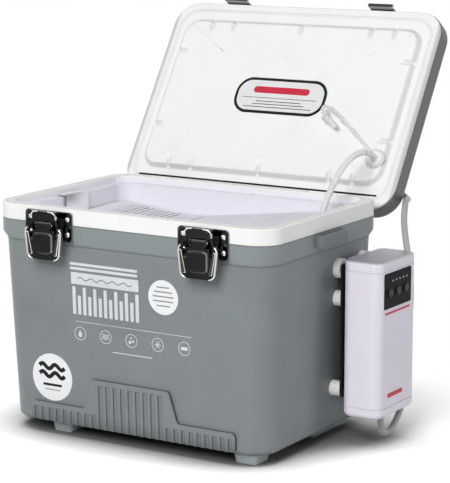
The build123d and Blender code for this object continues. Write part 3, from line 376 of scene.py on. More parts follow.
# ---- Shader groups: masks, heights and tones that several finishes share ----
def shader_group(name, inputs, outputs, wire):
    """A node group with named number inputs and outputs, wired once and used by many finishes."""
    tree = bpy.data.node_groups.new(name, "ShaderNodeTree")
    tree.interface.new_socket("Place", in_out="INPUT", socket_type="NodeSocketVector")
    for label, value in inputs.items():
        tree.interface.new_socket(label, in_out="INPUT", socket_type="NodeSocketFloat").default_value = value
    for label in outputs:
        tree.interface.new_socket(label, in_out="OUTPUT", socket_type="NodeSocketFloat")
    wire(tree, tree.nodes.new("NodeGroupInput").outputs, tree.nodes.new("NodeGroupOutput").inputs)
    return tree


def wire_moulding(tree, given, result):
    """Spark-eroded mould texture: fine noise for height, two broad noises for tone, rare specks."""
    link = tree.links.new
    fine = node(tree, "ShaderNodeTexNoise", in_Detail=3.0, in_Roughness=0.6)
    broad = node(tree, "ShaderNodeTexNoise", in_Detail=2.0, in_Scale=22.0)
    cloud = node(tree, "ShaderNodeTexNoise", in_Detail=4.0, in_Scale=160.0, in_Roughness=0.65)
    speck = node(tree, "ShaderNodeTexVoronoi", in_Scale=420.0)
    both = node(tree, "ShaderNodeMix", in_0=0.35)
    for texture in (fine, broad, cloud, speck):
        link(given["Place"], texture.inputs["Vector"])
    link(given["Grain"], fine.inputs["Scale"])
    link(broad.outputs["Fac"], both.inputs[2])
    link(cloud.outputs["Fac"], both.inputs[3])
    link(fine.outputs["Fac"], result["Height"])
    link(both.outputs[0], result["Tone"])
    link(ranged(tree, speck.outputs["Distance"], 0.05, 0.02, 0.0, 1.0), result["Specks"])


def wire_scuffs(tree, given, result):
    """Hairline marks: long thin noise cells in two directions, cut to thin bands where a patch noise is high."""
    link = tree.links.new
    patch = node(tree, "ShaderNodeTexNoise", in_Scale=30.0, in_Detail=1.0)
    link(given["Place"], patch.inputs["Vector"])
    worn = ranged(tree, patch.outputs["Fac"], 0.5, 0.68, 0.0, 1.0)
    hairs = []
    for stretch in ((60.0, 900.0, 700.0), (800.0, 90.0, 60.0)):
        turn = node(tree, "ShaderNodeMapping", in_Scale=stretch, in_Rotation=(0.3, 0.5, 0.7))
        hair = node(tree, "ShaderNodeTexNoise", in_Scale=1.0, in_Detail=2.0)
        link(given["Place"], turn.inputs["Vector"])
        link(turn.outputs[0], hair.inputs["Vector"])
        hairs.append(ranged(tree, hair.outputs["Fac"], 0.66, 0.72, 0.0, 1.0))
    marks = combined(tree, "MULTIPLY", combined(tree, "MAXIMUM", *hairs), worn)
    link(combined(tree, "MULTIPLY", marks, given["Amount"]), result["Marks"])


def wire_pores(tree, given, result):
    """Sintered grains: cell distance for height, the gaps between cells as pits."""
    link = tree.links.new
    cells = node(tree, "ShaderNodeTexVoronoi")
    link(given["Place"], cells.inputs["Vector"])
    link(given["Grain"], cells.inputs["Scale"])
    link(cells.outputs["Distance"], result["Height"])
    link(ranged(tree, cells.outputs["Distance"], 0.45, 0.8, 0.0, 1.0), result["Pits"])


def shared_groups():
    """The shader groups, built once."""
    if "Mould texture" not in bpy.data.node_groups:
        shader_group("Mould texture", {"Grain": 1800.0}, ("Height", "Tone", "Specks"), wire_moulding)
        shader_group("Hairline marks", {"Amount": 1.0}, ("Marks",), wire_scuffs)
        shader_group("Sintered grains", {"Grain": 900.0}, ("Height", "Pits"), wire_pores)
    return bpy.data.node_groups


def used(tree, group, place, **values):
    """A shared group placed in a finish, with its own values."""
    made = tree.nodes.new("ShaderNodeGroup")
    made.node_tree = shared_groups()[group]
    tree.links.new(place, made.inputs["Place"])
    for label, value in values.items():
        made.inputs[label].default_value = value
    return made


# ---- Tints: each recolours a finish by place, or by the way that a face is turned; most paint light and shade ----
def in_turn(*tints):
    """Several tints, one over the other."""

    def tint(tree, place, base):
        for each in tints:
            base = each(tree, place, base)
        return base

    return tint


def painted_top_shade(colour, low, high):
    """Another colour above the height low, in full from the height high."""

    def tint(tree, place, base):
        z = parted(tree, place)[2]
        return mixed(tree, ranged(tree, z, low * MM, high * MM, 0.0, 1.0), base, colour)

    return tint


def foot_tint(colour, rise, depth):
    """A share, depth, of another colour at height 0 and below, fading out at the height rise."""

    def tint(tree, place, base):
        z = parted(tree, place)[2]
        return mixed(tree, ranged(tree, z, 0.0, rise * MM, depth, 0.0), base, colour)

    return tint


def side_tint(colour, low, high):
    """Another colour towards both ends: from |x| = low, in full from high."""

    def tint(tree, place, base):
        across = combined(tree, "ABSOLUTE", parted(tree, place)[0])
        return mixed(tree, ranged(tree, across, low * MM, high * MM, 0.0, 1.0), base, colour)

    return tint


def painted_turn_light(colour, axis, start, end):
    """Painted light and shade: another colour where a face turns from one of its own axes, by 1 - |normal . axis|,
    from start to end.
    """

    def tint(tree, place, base):
        along = node(tree, "ShaderNodeVectorMath", operation="DOT_PRODUCT", in_1=axis)
        tree.links.new(tree.nodes.new("ShaderNodeTexCoord").outputs["Normal"], along.inputs[0])
        flat = combined(tree, "ABSOLUTE", along.outputs["Value"])
        return mixed(tree, ranged(tree, flat, 1 - end, 1 - start, 1.0, 0.0), base, colour)

    return tint


def tub_tint(colour, half_width, half_depth, top):
    """A tint inside the tub, where |x| and |y| are under the half sizes below its top, with painted shade making
    it darker further down.
    """

    def tint(tree, place, base):
        x, y, z = parted(tree, place)
        inside = ranged(tree, z, (top - 6) * MM, top * MM, 1.0, 0.0)
        for value, half in ((x, half_width), (y, half_depth)):
            near = ranged(tree, combined(tree, "ABSOLUTE", value), (half - 1) * MM, half * MM, 1.0, 0.0)
            inside = combined(tree, "MULTIPLY", inside, near)
        # Painted shade: darker deeper in the tub.
        under = ranged(tree, z, (top - 45) * MM, (top - 30) * MM, 0.7, 0.0)
        return mixed(tree, inside, base, mixed(tree, under, colour, shade(colour, 0.35)))

    return tint


def painted_ledge_light(colour, ledge, band):
    """The skirt above the ledge paler as painted light, the feet paler, and a painted shadow line at the skirt's
    foot and another under the band.
    """

    def tint(tree, place, base):
        z = parted(tree, place)[2]
        # Painted light: the skirt above the ledge paler.
        base = mixed(tree, ranged(tree, z, (ledge + 0.6) * MM, (ledge + 3.0) * MM, 0.0, 1.0), base, colour)
        base = mixed(tree, ranged(tree, z, -1.0 * MM, 0.0, 1.0, 0.0), base, shade(colour, 1.25))
        # Painted shadow lines at the skirt's foot and below the band.
        for height, width, depth in ((ledge - 0.2, 1.1, 0.55), (band, 1.6, 0.5)):
            away = combined(tree, "ABSOLUTE", combined(tree, "SUBTRACT", z, height * MM))
            line = ranged(tree, away, 0.2 * width * MM, width * MM, depth, 0.0)
            base = mixed(tree, line, base, shade(colour, 0.25))
        return base

    return tint


# ---- Finishes ----
def fresh_material(name):
    """A new material, its node tree, its shader and its object coordinates."""
    material = bpy.data.materials.new(name)
    material.use_nodes = True
    tree = material.node_tree
    return material, tree, tree.nodes["Principled BSDF"], tree.nodes.new("ShaderNodeTexCoord").outputs["Object"]


def surfaced(tree, shader, colour, rough, height, relief, **values):
    """Joins a colour, a roughness and a bump of a depth in millimetres to the shader."""
    bump = node(tree, "ShaderNodeBump", in_Strength=1.0, in_Distance=relief * MM, **values)
    tree.links.new(height, bump.inputs["Height"])
    for value, label in ((colour, "Base Color"), (rough, "Roughness"), (bump.outputs[0], "Normal")):
        tree.links.new(value, shader.inputs[label])


def finish(name, colour, rough, tone=0.06, spread=0.08, grain=1800.0, relief=0.03, marks=0.5, tint=None,
           **fixed):
    """A moulded, rubber or metal finish: tone and specks over the colour, broken roughness, mould texture as bump.

    fixed holds the constants of the shader's own sockets; tint, if given, recolours the base before the marks.
    """
    if name in bpy.data.materials:
        return bpy.data.materials[name]
    material, tree, shader, place = fresh_material(name)
    mould = used(tree, "Mould texture", place, Grain=grain)
    hair = used(tree, "Hairline marks", place, Amount=marks)
    patches = ranged(tree, mould.outputs["Tone"], 0.35, 0.65, 0.0, 1.0)
    base = mixed(tree, patches, shade(colour, 1 - tone), shade(colour, 1 + tone))
    if tint:
        base = tint(tree, place, base)
    base = mixed(tree, ranged(tree, mould.outputs["Specks"], 0, 1, 0, 0.25), base, shade(colour, 0.6))
    pale = tuple(c + (0.9 - c) * 0.25 for c in colour)
    base = mixed(tree, ranged(tree, hair.outputs["Marks"], 0, 1, 0, 0.5), base, pale)
    even = ranged(tree, mould.outputs["Tone"], 0.3, 0.7, rough - spread, rough + spread)
    worn = node(tree, "ShaderNodeMath", operation="MULTIPLY_ADD", in_1=0.15, use_clamp=True)
    tree.links.new(hair.outputs["Marks"], worn.inputs[0])
    tree.links.new(even, worn.inputs[2])
    surfaced(tree, shader, base, worn.outputs[0], mould.outputs["Height"], relief)
    for label, value in {"Specular_IOR_Level": 0.3, **fixed}.items():
        shader.inputs[label.replace("_", " ")].default_value = value
    return material


def stone_finish(name, colour):
    """The air stone: sintered grains, with painted shade darkening the pits between them."""
    if name in bpy.data.materials:
        return bpy.data.materials[name]
    material, tree, shader, place = fresh_material(name)
    grains = used(tree, "Sintered grains", place, Grain=1100.0)
    tone = used(tree, "Mould texture", place, Grain=700.0).outputs["Tone"]
    base = mixed(tree, tone, shade(colour, 0.8), shade(colour, 1.2))
    # Painted shade in the pits.
    base = mixed(tree, grains.outputs["Pits"], base, shade(colour, 0.25))
    rough = ranged(tree, tone, 0, 1, 0.75, 0.95)
    surfaced(tree, shader, base, rough, grains.outputs["Height"], 0.4, invert=True)
    return material


def colours():
    """The user's colours and sizes."""
    return bpy.context.scene.cooler_looks


def grey_plastic(name, share=1.0, tint=None):
    """Cool grey satin plastic with a thin coat, a share of the shell's colour."""
    return finish(name, shade(colours().shell, share), 0.42, tone=0.05, relief=0.02, tint=tint,
                  Coat_Weight=0.08, Coat_Roughness=0.3)


def shell_grey():
    """The plain shell plastic, where it shows inside the white printing."""
    return grey_plastic("Grey shell plastic")


def body_grey():
    """The shell plastic of the body, paler on its skirt as painted light, with painted shadow lines below the
    ledge and the band.
    """
    pale = shade(colours().shell, 1.2)
    return grey_plastic("Grey body plastic", tint=painted_ledge_light(pale, SKIRT_BOTTOM, BAND_FOOT))


def skid_grey():
    """The shell plastic of the skid plate, with painted shade on the turned faces of its flutes, and darker
    towards the floor.
    """
    shell = colours().shell
    # Painted shade on the flutes' turned faces.
    painted_groove_shade = painted_turn_light(shade(shell, 0.45), (0, 1, 0), 0.03, 0.3)
    return grey_plastic("Grey skid plastic", tint=in_turn(painted_groove_shade, foot_tint(shade(shell, 0.35), 16.0, 0.7)))


def lid_grey():
    """The lid shell's plastic, darkened below the body's as painted shade."""
    return grey_plastic("Grey lid shell plastic", 0.58)


def grip_grey():
    """Darker satin plastic of the grips."""
    return finish("Grey grip plastic", shade(colours().shell, 0.75), 0.42, tone=0.05, relief=0.02)


def dark_grey():
    """Dark grey of the hinges."""
    return finish("Dark fitting plastic", colours().fitting, 0.4, tone=0.08, relief=0.03)


def lid_white():
    """Warm white smooth plastic of the lid's inner face, greyed by painted shade on its sloping faces and at its
    ends.
    """
    white = colours().white
    axis = on_lid((0.0, 0.0, 1.0)) - on_lid((0.0, 0.0, 0.0))
    # Painted shade on the sloping faces and at both ends.
    painted_slope_light = painted_turn_light(shade(white, 0.8), axis, 0.01, 0.25)
    return finish("White lid plastic", white, 0.32, tone=0.015, spread=0.05, relief=0.006, marks=0.15,
                  tint=in_turn(painted_slope_light, side_tint(shade(white, 0.6), 153.0, 157.0)))


def rubber_white():
    """Soft white rubber."""
    return finish("White rubber", (0.8, 0.8, 0.78), 0.55, tone=0.04, relief=0.02, Sheen_Weight=0.15)


def clear_rubber():
    """Milky silicone of the inner hose and the vent plug."""
    return finish("Milky silicone", colours().hose, 0.28, tone=0.05, spread=0.05, relief=0.01, marks=0.3,
                  Transmission_Weight=0.25, IOR=1.41, Coat_Weight=0.25, Coat_Roughness=0.15)


def hose_grey():
    """The outer hose's silicone: the hoses' milky colour darkened as painted shade, greyer than the short one
    inside.
    """
    return finish("Grey silicone", shade(colours().hose, 0.46), 0.35, tone=0.03, spread=0.05, relief=0.01,
                  marks=0.2)


def steel(name, colour, rough, tone=0.15, relief=0.012, grain=260.0, tint=None):
    """Polished steel with a fine broken sheen."""
    return finish(name, colour, rough, tone=tone, spread=0.05, relief=relief, grain=grain, tint=tint, Metallic=1.0)


def dark_steel():
    """Polished dark nickel of the latches: dark flats, with a painted reflection brightening it where a bend turns
    from the front.
    """
    # Painted reflection: brighter where a face turns from the front.
    bends = painted_turn_light((0.35, 0.35, 0.35), (0, 1, 0), 0.1, 0.7)
    return steel("Dark polished steel", colours().steel, 0.13, tint=bends)


def glint_pressed_steel():
    """The lever's pressed sides: dark crests, with a painted reflection brightening their sloping faces."""
    # Painted reflection on the sloping faces.
    painted_slope_light = painted_turn_light((0.8, 0.8, 0.78), (0, 1, 0), 0.02, 0.35)
    return steel("Pressed steel", (0.05, 0.05, 0.05), 0.14, tint=painted_slope_light)


def bright_steel_and_glint():
    """Bright polished steel of the rivets and pins; on the latches' rolled edges and claw lips it is a painted
    highlight over their dark nickel.
    """
    return steel("Bright polished steel", (0.64, 0.64, 0.64), 0.15, tone=0.06, relief=0.008, grain=300.0)


def print_white():
    """White printing, a little worn."""
    return finish("White print", (0.66, 0.685, 0.7), 0.5, tone=0.05, marks=0.9)


def ink_and_shade_black():
    """Black for ink and outlines; on the pump's hanger and along the lid's foot it is painted shade."""
    return finish("Black ink", (0.012, 0.012, 0.013), 0.5, tone=0.2, marks=0.1, Specular_IOR_Level=0.1)


def dress(names, material, bevel=0.35):
    """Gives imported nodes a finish, smooth faces and fine rounded edges, their meshes as they are."""
    for name in names:
        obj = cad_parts[name]
        obj.data.materials.clear()
        obj.data.materials.append(material)
        obj.data.polygons.foreach_set("use_smooth", np.ones(len(obj.data.polygons), bool))
        weld = obj.modifiers.new("Weld", "WELD")
        weld.merge_threshold = WELD_GAP
        if bevel:
            flat = obj.modifiers.new("Flat faces", "DECIMATE")
            flat.decimate_type = "DISSOLVE"
            flat.angle_limit = FLAT_ANGLE
            edge = obj.modifiers.new("Edges", "BEVEL")
            edge.width = bevel * MM
            edge.segments = 2
            edge.limit_method = "ANGLE"
            edge.angle_limit = EDGE_ANGLE
            edge.use_clamp_overlap = True
            edge.harden_normals = False
        even = obj.modifiers.new("Shading", "WEIGHTED_NORMAL")
        even.keep_sharp = True
        even.weight = 90


# ---- The user's sizes and colours ----
def colour_setting(name, description, default):
    """A colour that the user can change."""
    return FloatVectorProperty(name=name, description=description, default=default, min=0, max=1, subtype="COLOR")


def power_setting(name, description, default):
    """A lamp's power that the user can change."""
    return FloatProperty(name=name, description=description, default=default, unit="POWER")


def length_setting(name, description, default):
    """A length, in metres, that the user can change."""
    return FloatProperty(name=name, description=description, default=default, unit="LENGTH")


class CoolerStageSettings(bpy.types.PropertyGroup):
    """Camera, floor and lamps."""

    lens: FloatProperty(name="Lens", description="Focal length of the camera", default=162.94, min=20,
                        unit="CAMERA")
    key_power: power_setting("Key lamp", "Power of the large lamp at the front", 65.0)
    side_power: power_setting("Side lamp", "Power of the lamp at the left", 14.0)
    fill_power: power_setting("Fill lamp", "Power of the lamp behind the right", 35.0)
    sky: FloatProperty(name="Sky", description="Strength of the even studio light", default=0.13, min=0)
    floor_colour: colour_setting("Floor", "Colour of the pale floor", (0.8, 0.8, 0.8))


class CoolerLooks(bpy.types.PropertyGroup):
    """Colours of the finishes and sizes of the fine pieces."""

    shell: colour_setting("Shell", "Grey of the body and the lid shell", (0.2, 0.223, 0.23))
    fitting: colour_setting("Fittings", "Dark grey of the hinges", (0.11, 0.115, 0.118))
    white: colour_setting("Lid white", "White of the lid's inner face", (0.885, 0.885, 0.87))
    tub: colour_setting("Tub", "Cool white inside the tub", (0.78, 0.775, 0.85))
    pump: colour_setting("Pump", "White of the pump, faintly lilac", (0.75, 0.715, 0.805))
    hose: colour_setting("Hose colour", "Milky colour of the hoses", (0.82, 0.82, 0.805))
    steel: colour_setting("Latch steel", "Dark nickel of the latches", (0.022, 0.022, 0.022))
    accent: colour_setting("Accent", "Red of the plain stripes", (0.55, 0.02, 0.05))
    hose_diameter: length_setting("Hose", "Outer diameter of the air hose", 0.0062)
    gasket_bulb: length_setting("Gasket bulb", "How far the gasket's bulb stands out", 0.0007)
    rim_roll: length_setting("Rolled rim", "Radius of the rolled steel edges", 0.0009)
    print_relief: length_setting("Print", "Thickness of printing and labels", 0.00015)
    hose_sides: IntProperty(name="Hose sides", description="Columns round each hose", default=24, min=8, max=64)


# ---- The stage ----
CAMERA_PLACE, CAMERA_TARGET = (1.0575, -1.6335, 0.5365), (0.030, 0.0185, 0.17235)
FLOOR_HALF, FLOOR_HEIGHT = 20.0, -0.0101
FADE_CENTRE, FADE_START, FADE_END = (0.02, -0.16, 0.0), 0.26, 0.46
# Each lamp: name, power setting, place, target, size.
LAMPS = (
    ("Key", "key_power", (0.35, -2.2, 1.75), (0, 0, 0.15), (1.5, 1.5)),
    ("Side", "side_power", (-3.3, -0.45, 1.28), (0, 0, 0.17), (1.35, 1.65)),
    ("Fill", "fill_power", (3.25, 1.35, 1.28), (0.1, 0, 0.17), (1.35, 1.8)),
)


def aimed(name, data, place, target):
    """A camera or lamp at a place, in metres, turned to a target."""
    obj = bpy.data.objects.new(name, data)
    obj.location = place
    obj.rotation_euler = (Vector(target) - Vector(place)).to_track_quat("-Z", "Y").to_euler()
    bpy.context.scene.collection.objects.link(obj)
    return obj


def lamp(name, power, place, target, size):
    """A rectangular area lamp."""
    light = bpy.data.lights.new(name, "AREA")
    light.shape, light.size, light.size_y, light.energy = "RECTANGLE", size[0], size[1], power
    aimed(name, light, place, target)


def seen_white(tree):
    """1 for camera, glossy and transmitted rays, else 0."""
    path = tree.nodes.new("ShaderNodeLightPath").outputs
    straight = combined(tree, "MAXIMUM", path["Is Camera Ray"], path["Is Glossy Ray"])
    return combined(tree, "MAXIMUM", straight, path["Is Transmission Ray"])


def floor_finish(colour):
    """Pale floor. Seen rays get its colour and a pale second layer, with a painted contact shadow where something
    stands close above.

    By distance from a point in front of the box they fade to plain white. Other rays get the floor's own colour.
    """
    material, tree, shader, place = fresh_material("Pale floor")
    tone = used(tree, "Mould texture", place, Grain=300.0).outputs["Tone"]
    tree.links.new(mixed(tree, tone, shade(colour, 0.99), shade(colour, 1.01)), shader.inputs["Base Color"])
    shader.inputs["Roughness"].default_value = 0.9
    shader.inputs["Specular IOR Level"].default_value = 0.1
    pale = node(tree, "ShaderNodeBsdfDiffuse", in_Color=(0.95, 0.95, 0.95, 1))
    # The dark diffuse is a painted contact shadow, mixed in where occlusion finds something within 75 mm.
    dark = node(tree, "ShaderNodeBsdfDiffuse", in_Color=(0.16, 0.16, 0.16, 1))
    white = node(tree, "ShaderNodeEmission", in_Strength=1.0, in_Color=(1, 1, 1, 1))
    lit = tree.nodes.new("ShaderNodeAddShader")
    tree.links.new(shader.outputs[0], lit.inputs[0])
    tree.links.new(pale.outputs[0], lit.inputs[1])
    close = node(tree, "ShaderNodeAmbientOcclusion", in_Distance=0.075, samples=12)
    far = node(tree, "ShaderNodeVectorMath", operation="DISTANCE", in_1=FADE_CENTRE)
    tree.links.new(place, far.inputs[0])
    clear = ranged(tree, close.outputs["AO"], 0.4, 0.95, 0.0, 1.0)
    fade = ranged(tree, far.outputs["Value"], FADE_START, FADE_END, 0.0, 1.0)
    contact_shadowed = mixed_shaders(tree, clear, dark.outputs[0], lit.outputs[0])
    faded = mixed_shaders(tree, fade, contact_shadowed, white.outputs[0])
    surface = mixed_shaders(tree, seen_white(tree), shader.outputs[0], faded)
    tree.links.new(surface, tree.nodes["Material Output"].inputs["Surface"])
    return material


def surroundings(strength):
    """Even light of a strength, seen as plain white."""
    world = bpy.data.worlds.new("Studio")
    world.use_nodes = True
    tree = world.node_tree
    even = tree.nodes["Background"]
    even.inputs[0].default_value = (1, 1, 1, 1)
    even.inputs[1].default_value = strength
    white = node(tree, "ShaderNodeBackground", in_Strength=1.0, in_Color=(1, 1, 1, 1))
    both = mixed_shaders(tree, seen_white(tree), even.outputs[0], white.outputs[0])
    tree.links.new(both, tree.nodes["World Output"].inputs[0])
    return world


class COOLER_OT_stage(bpy.types.Operator):
    """Camera, pale floor, soft lamps and plain white surroundings"""

    bl_idname = "cooler.stage"
    bl_label = "Stage"

    def execute(self, context):
        scene = context.scene
        settings = scene.cooler_stage
        scene.view_settings.view_transform = "Standard"
        camera = bpy.data.cameras.new("Camera")
        camera.lens, camera.sensor_width, camera.sensor_fit = settings.lens, 36.0, "HORIZONTAL"
        camera.clip_end = 50.0
        scene.camera = aimed("Camera", camera, CAMERA_PLACE, CAMERA_TARGET)
        side = np.array([-FLOOR_HALF, FLOOR_HALF])
        points = np.stack([*np.meshgrid(side, side), np.full((2, 2), FLOOR_HEIGHT)], -1)
        finished = floor_finish(settings.floor_colour)
        piece("floor", [grid(points, closed=(False, False))], finished, None, scale=1.0)
        for name, power, *rest in LAMPS:
            lamp(name, getattr(settings, power), *rest)
        scene.world = surroundings(settings.sky)
        return {"FINISHED"}


# ---- Hoses ----
OUTER_LOW = (
    (189.0, 44.0, 15.0), (189.0, 44.0, 4.5), (189.0, 49.5, -4.6), (189.0, 62.0, -5.4), (189.3, 75.5, 1.5),
    (189.6, 87.5, 14.5), (190.8, 92.5, 33.0), (192.2, 93.0, 60.0), (193.8, 93.0, 95.0), (194.8, 93.5, 130.0),
    (193.3, 94.75, 140.0),
)
OUTER_HIGH = (
    (193.3, 94.75, 140.0), (191.8, 96.0, 150.0), (186.0, 100.5, 168.0), (179.3, 108.0, 184.0),
    (173.8, 117.0, 196.0), (169.6, 127.5, 204.5), (163.5, 141.0, 207.5), (158.5, 156.0, 205.5),
    (149.5, 170.5, 204.0), (137.5, 179.5, 208.0), tuple(on_lid((*GROMMET, 41.9))), tuple(on_lid((*GROMMET, 28.9))),
)
INNER = (
    tuple(on_lid((*GROMMET, -5.9))), tuple(on_lid((*GROMMET, -17.9))), (128.6, 110.0, 256.5), (126.4, 93.0, 252.0),
    (123.0, 77.0, 240.0), (120.3, 65.0, 223.0), (118.5, 55.0, 206.0), (117.4, 48.0, 186.0), (116.8, 44.0, 162.0),
    (116.4, 42.2, 130.0), (116.0, 42.6, 98.0), (115.0, 45.0, 70.0), (115.0, 45.0, 53.0),
)


class COOLER_OT_hoses(bpy.types.Operator):
    """Air hose from the pump to the lid, and from the lid down to the air stone"""

    bl_idname = "cooler.hoses"
    bl_label = "Hoses"

    def execute(self, context):
        looks = context.scene.cooler_looks
        diameter = looks.hose_diameter
        outer, inner = hose_grey(), clear_rubber()
        rows = (
            ("hose_outer_low", OUTER_LOW, outer, ("pump", "box"), "hose_outer", "object", (),
             (0.189, 0.060, 0.0), (0.192, 0.093, 0.060)),
            ("hose_outer_high", OUTER_HIGH, outer, ("box", "lid"), "hose_outer", "object", (),
             (0.188, 0.099, 0.162), (0.1375, 0.1795, 0.208)),
            ("hose_inner_tube", INNER, inner, ("lid", "box"), "hose_inner", "fitting", ("air_stone",),
             (0.1286, 0.110, 0.2565), (0.1174, 0.046, 0.175)),
        )
        for name, route, material, bodies, stands_for, far_end, pieces_on, start, end in rows:
            line = line_of(name + "_line", route)
            round_it = tube(line, diameter / 2, looks.hose_sides)
            hose = piece(name, [round_it], material, None, scale=1.0)
            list(bodies)
            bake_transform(hose)
            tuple(start)
            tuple(end)
            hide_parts(stands_for)
            list(pieces_on)
        return {"FINISHED"}


# ---- Box ----
TUB_HALF_WIDTH, TUB_HALF_DEPTH, TUB_TOP = 148.0, 100.0, 213.0
RIM_LINE, RIM_LINE_END = (301.0, 208.0, 20.5), 78.0


class COOLER_OT_box(bpy.types.Operator):
    """Grey body with its feet, white liner, grips and skid plate"""

    bl_idname = "cooler.box"
    bl_label = "Box"

    def execute(self, context):
        dress(["outer_shell"], body_grey())
        dress(["skid_plate"], skid_grey())
        dress(["side_grip_left", "side_grip_right"], grip_grey())
        inside = tub_tint(context.scene.cooler_looks.tub, TUB_HALF_WIDTH, TUB_HALF_DEPTH, TUB_TOP)
        liner = finish("White liner plastic", (0.85, 0.855, 0.85), 0.34, tone=0.02, spread=0.06, relief=0.008,
                       marks=0.3, tint=inside)
        dress(["inner_liner"], liner)
        # A grey line round the rim's top: painted shade of its groove.
        around = rounded(*RIM_LINE, arc=12, straight=8)
        edge = ribbon(around[around[:, 1] < RIM_LINE_END], 0.8, on_rim, -0.3, 0.06)
        line = finish("Grey rim line", (0.52, 0.52, 0.54), 0.5, tone=0.05)
        piece("rim_line", [edge], line, "box")
        foam = finish("Rigid foam", (0.75, 0.68, 0.45), 0.9, tone=0.1, relief=0.3, grain=700.0)
        dress(["foam_core", "lid_foam"], foam, 0)
        return {"FINISHED"}


# ---- Lid ----
# A rounded rectangle is (width, depth, radius). LID_WALL is (inset, height) down the face's outer wall.
LID_FACE, LID_SHIFT = (317.8, 220.8, 26.4), -0.5
LID_WALL = ((0.3, 4.0), (0.0, 3.6), (0.0, 2.2), (0.25, 1.45), (0.8, 1.08), (1.6, 1.0))
PLUG_WIDTH, PLUG_DEPTH, PLUG_RADIUS, PLUG_SHIFT = 284.0, 176.0, 19.0, -2.0
PLUG_RISE, RAMP_RISE, RAMP_HALF = 5.0, 2.7, 2.1
# Ramps: axis, places along it, how far in they run, then the offset and half width of the band without any.
RAMPS = ((0, (-107.0, -80.0, 2.0, 84.0, 111.0), 17, 2, 60), (1, (-51.0, 37.0), 18, 0, 110))
FOOT_SHADOW_LINE = ((-141.0, 94.7), (141.0, 94.7))
GASKET = (300.0, 203.0, 22.0)
LABEL_CENTRE, LABEL_BORDER, LABEL_FACE = (2.3, -3.0), (107.6, 40.7, 17.5), (101.2, 34.3, 14.3)
STRIPE, STRIPE_CENTRE = (66.0, 7.4, 3.6), (2.3, -9.5)
# Rules: from x, to x, y, width.
LABEL_RULES = ((-42, 46, -0.4, 0.5), (-24, 28, 3.6, 0.7), (-28, 33, 6.9, 0.7), (-38, 42, 10.2, 0.7))


def plug_distance(xy):
    """Signed distance inside the plug's rounded rectangle: positive inwards."""
    q = np.abs(xy - (0.0, PLUG_SHIFT)) - (PLUG_WIDTH / 2 - PLUG_RADIUS, PLUG_DEPTH / 2 - PLUG_RADIUS)
    outside = np.linalg.norm(np.maximum(q, 0), axis=-1)
    inside = np.minimum(np.maximum(q[..., 0], q[..., 1]), 0)
    return PLUG_RADIUS - outside - inside


def lid_face_points():
    """Rings of the lid's inner face drawn in to one point, lowered by the plug's step and raised by its ramps.

    A ramp is a bell across its line, exp(-(d / half)^2), from the plug's edge to a short way in.
    """
    outline = rounded(*LID_FACE, arc=14, straight=220, centre=(0, LID_SHIFT))
    side = normals_of(outline)
    insets = np.arange(3.0, 25.0, 1.1)
    middle, last = np.array([0.0, PLUG_SHIFT]), outline - side * insets[-1]
    steps = np.concatenate([np.linspace(0.0, 0.2, 22)[1:], np.linspace(0.2, 1.0, 7)[1:]])
    rows = [(outline - side * inset, height) for inset, height in LID_WALL]
    rows += [(outline - side * inset, 1.0) for inset in insets]
    rows += [(last * (1 - t) + middle * t, 1.0) for t in steps]
    xy = np.stack([ring for ring, _ in rows])
    height = np.stack([np.full(len(outline), h) for _, h in rows])
    inner = plug_distance(xy)
    height -= PLUG_RISE * smooth((inner + 1.2) / 6.2)
    for axis, lines, reach, offset, apart in RAMPS:
        run = smooth((reach - inner) / 9) * smooth(inner / 3) * (np.abs(xy[..., 1 - axis] + offset) > apart)
        for line in lines:
            height += RAMP_RISE * np.exp(-(((xy[..., axis] - line) / RAMP_HALF) ** 2)) * run
    return on_lid(np.concatenate([xy, height[..., None]], -1))[:, ::-1]


def lid_label(relief, accent):
    """The bordered plate inside the lid, with thin rules and a plain stripe; heights point down from the lid."""
    border = rounded(*LABEL_BORDER, arc=12, centre=LABEL_CENTRE)
    face = rounded(*LABEL_FACE, arc=12, centre=LABEL_CENTRE)
    stripe = rounded(*STRIPE, centre=STRIPE_CENTRE)
    low, high = -4.1, -4.2 - 3 * relief
    plate = finish("Silver label", (0.76, 0.765, 0.77), 0.3, tone=0.02, spread=0.04, marks=0.4, Coat_Weight=0.2)
    rules = [ribbon(np.array([[a, y], [b, y]]), wide, on_lid, low, high) for a, b, y, wide in LABEL_RULES]
    piece("lid_label_edge", [slab(border, on_lid, -3.8, -4.1 - relief)], ink_and_shade_black(), "lid")
    piece("lid_label", [slab(face, on_lid, -3.9, -4.16 - 2 * relief)], plate, "lid")
    piece("lid_label_rules", rules, ink_and_shade_black(), "lid")
    piece("lid_label_stripe", [slab(stripe, on_lid, low, high)], finish("Red stripe", accent, 0.45), "lid")


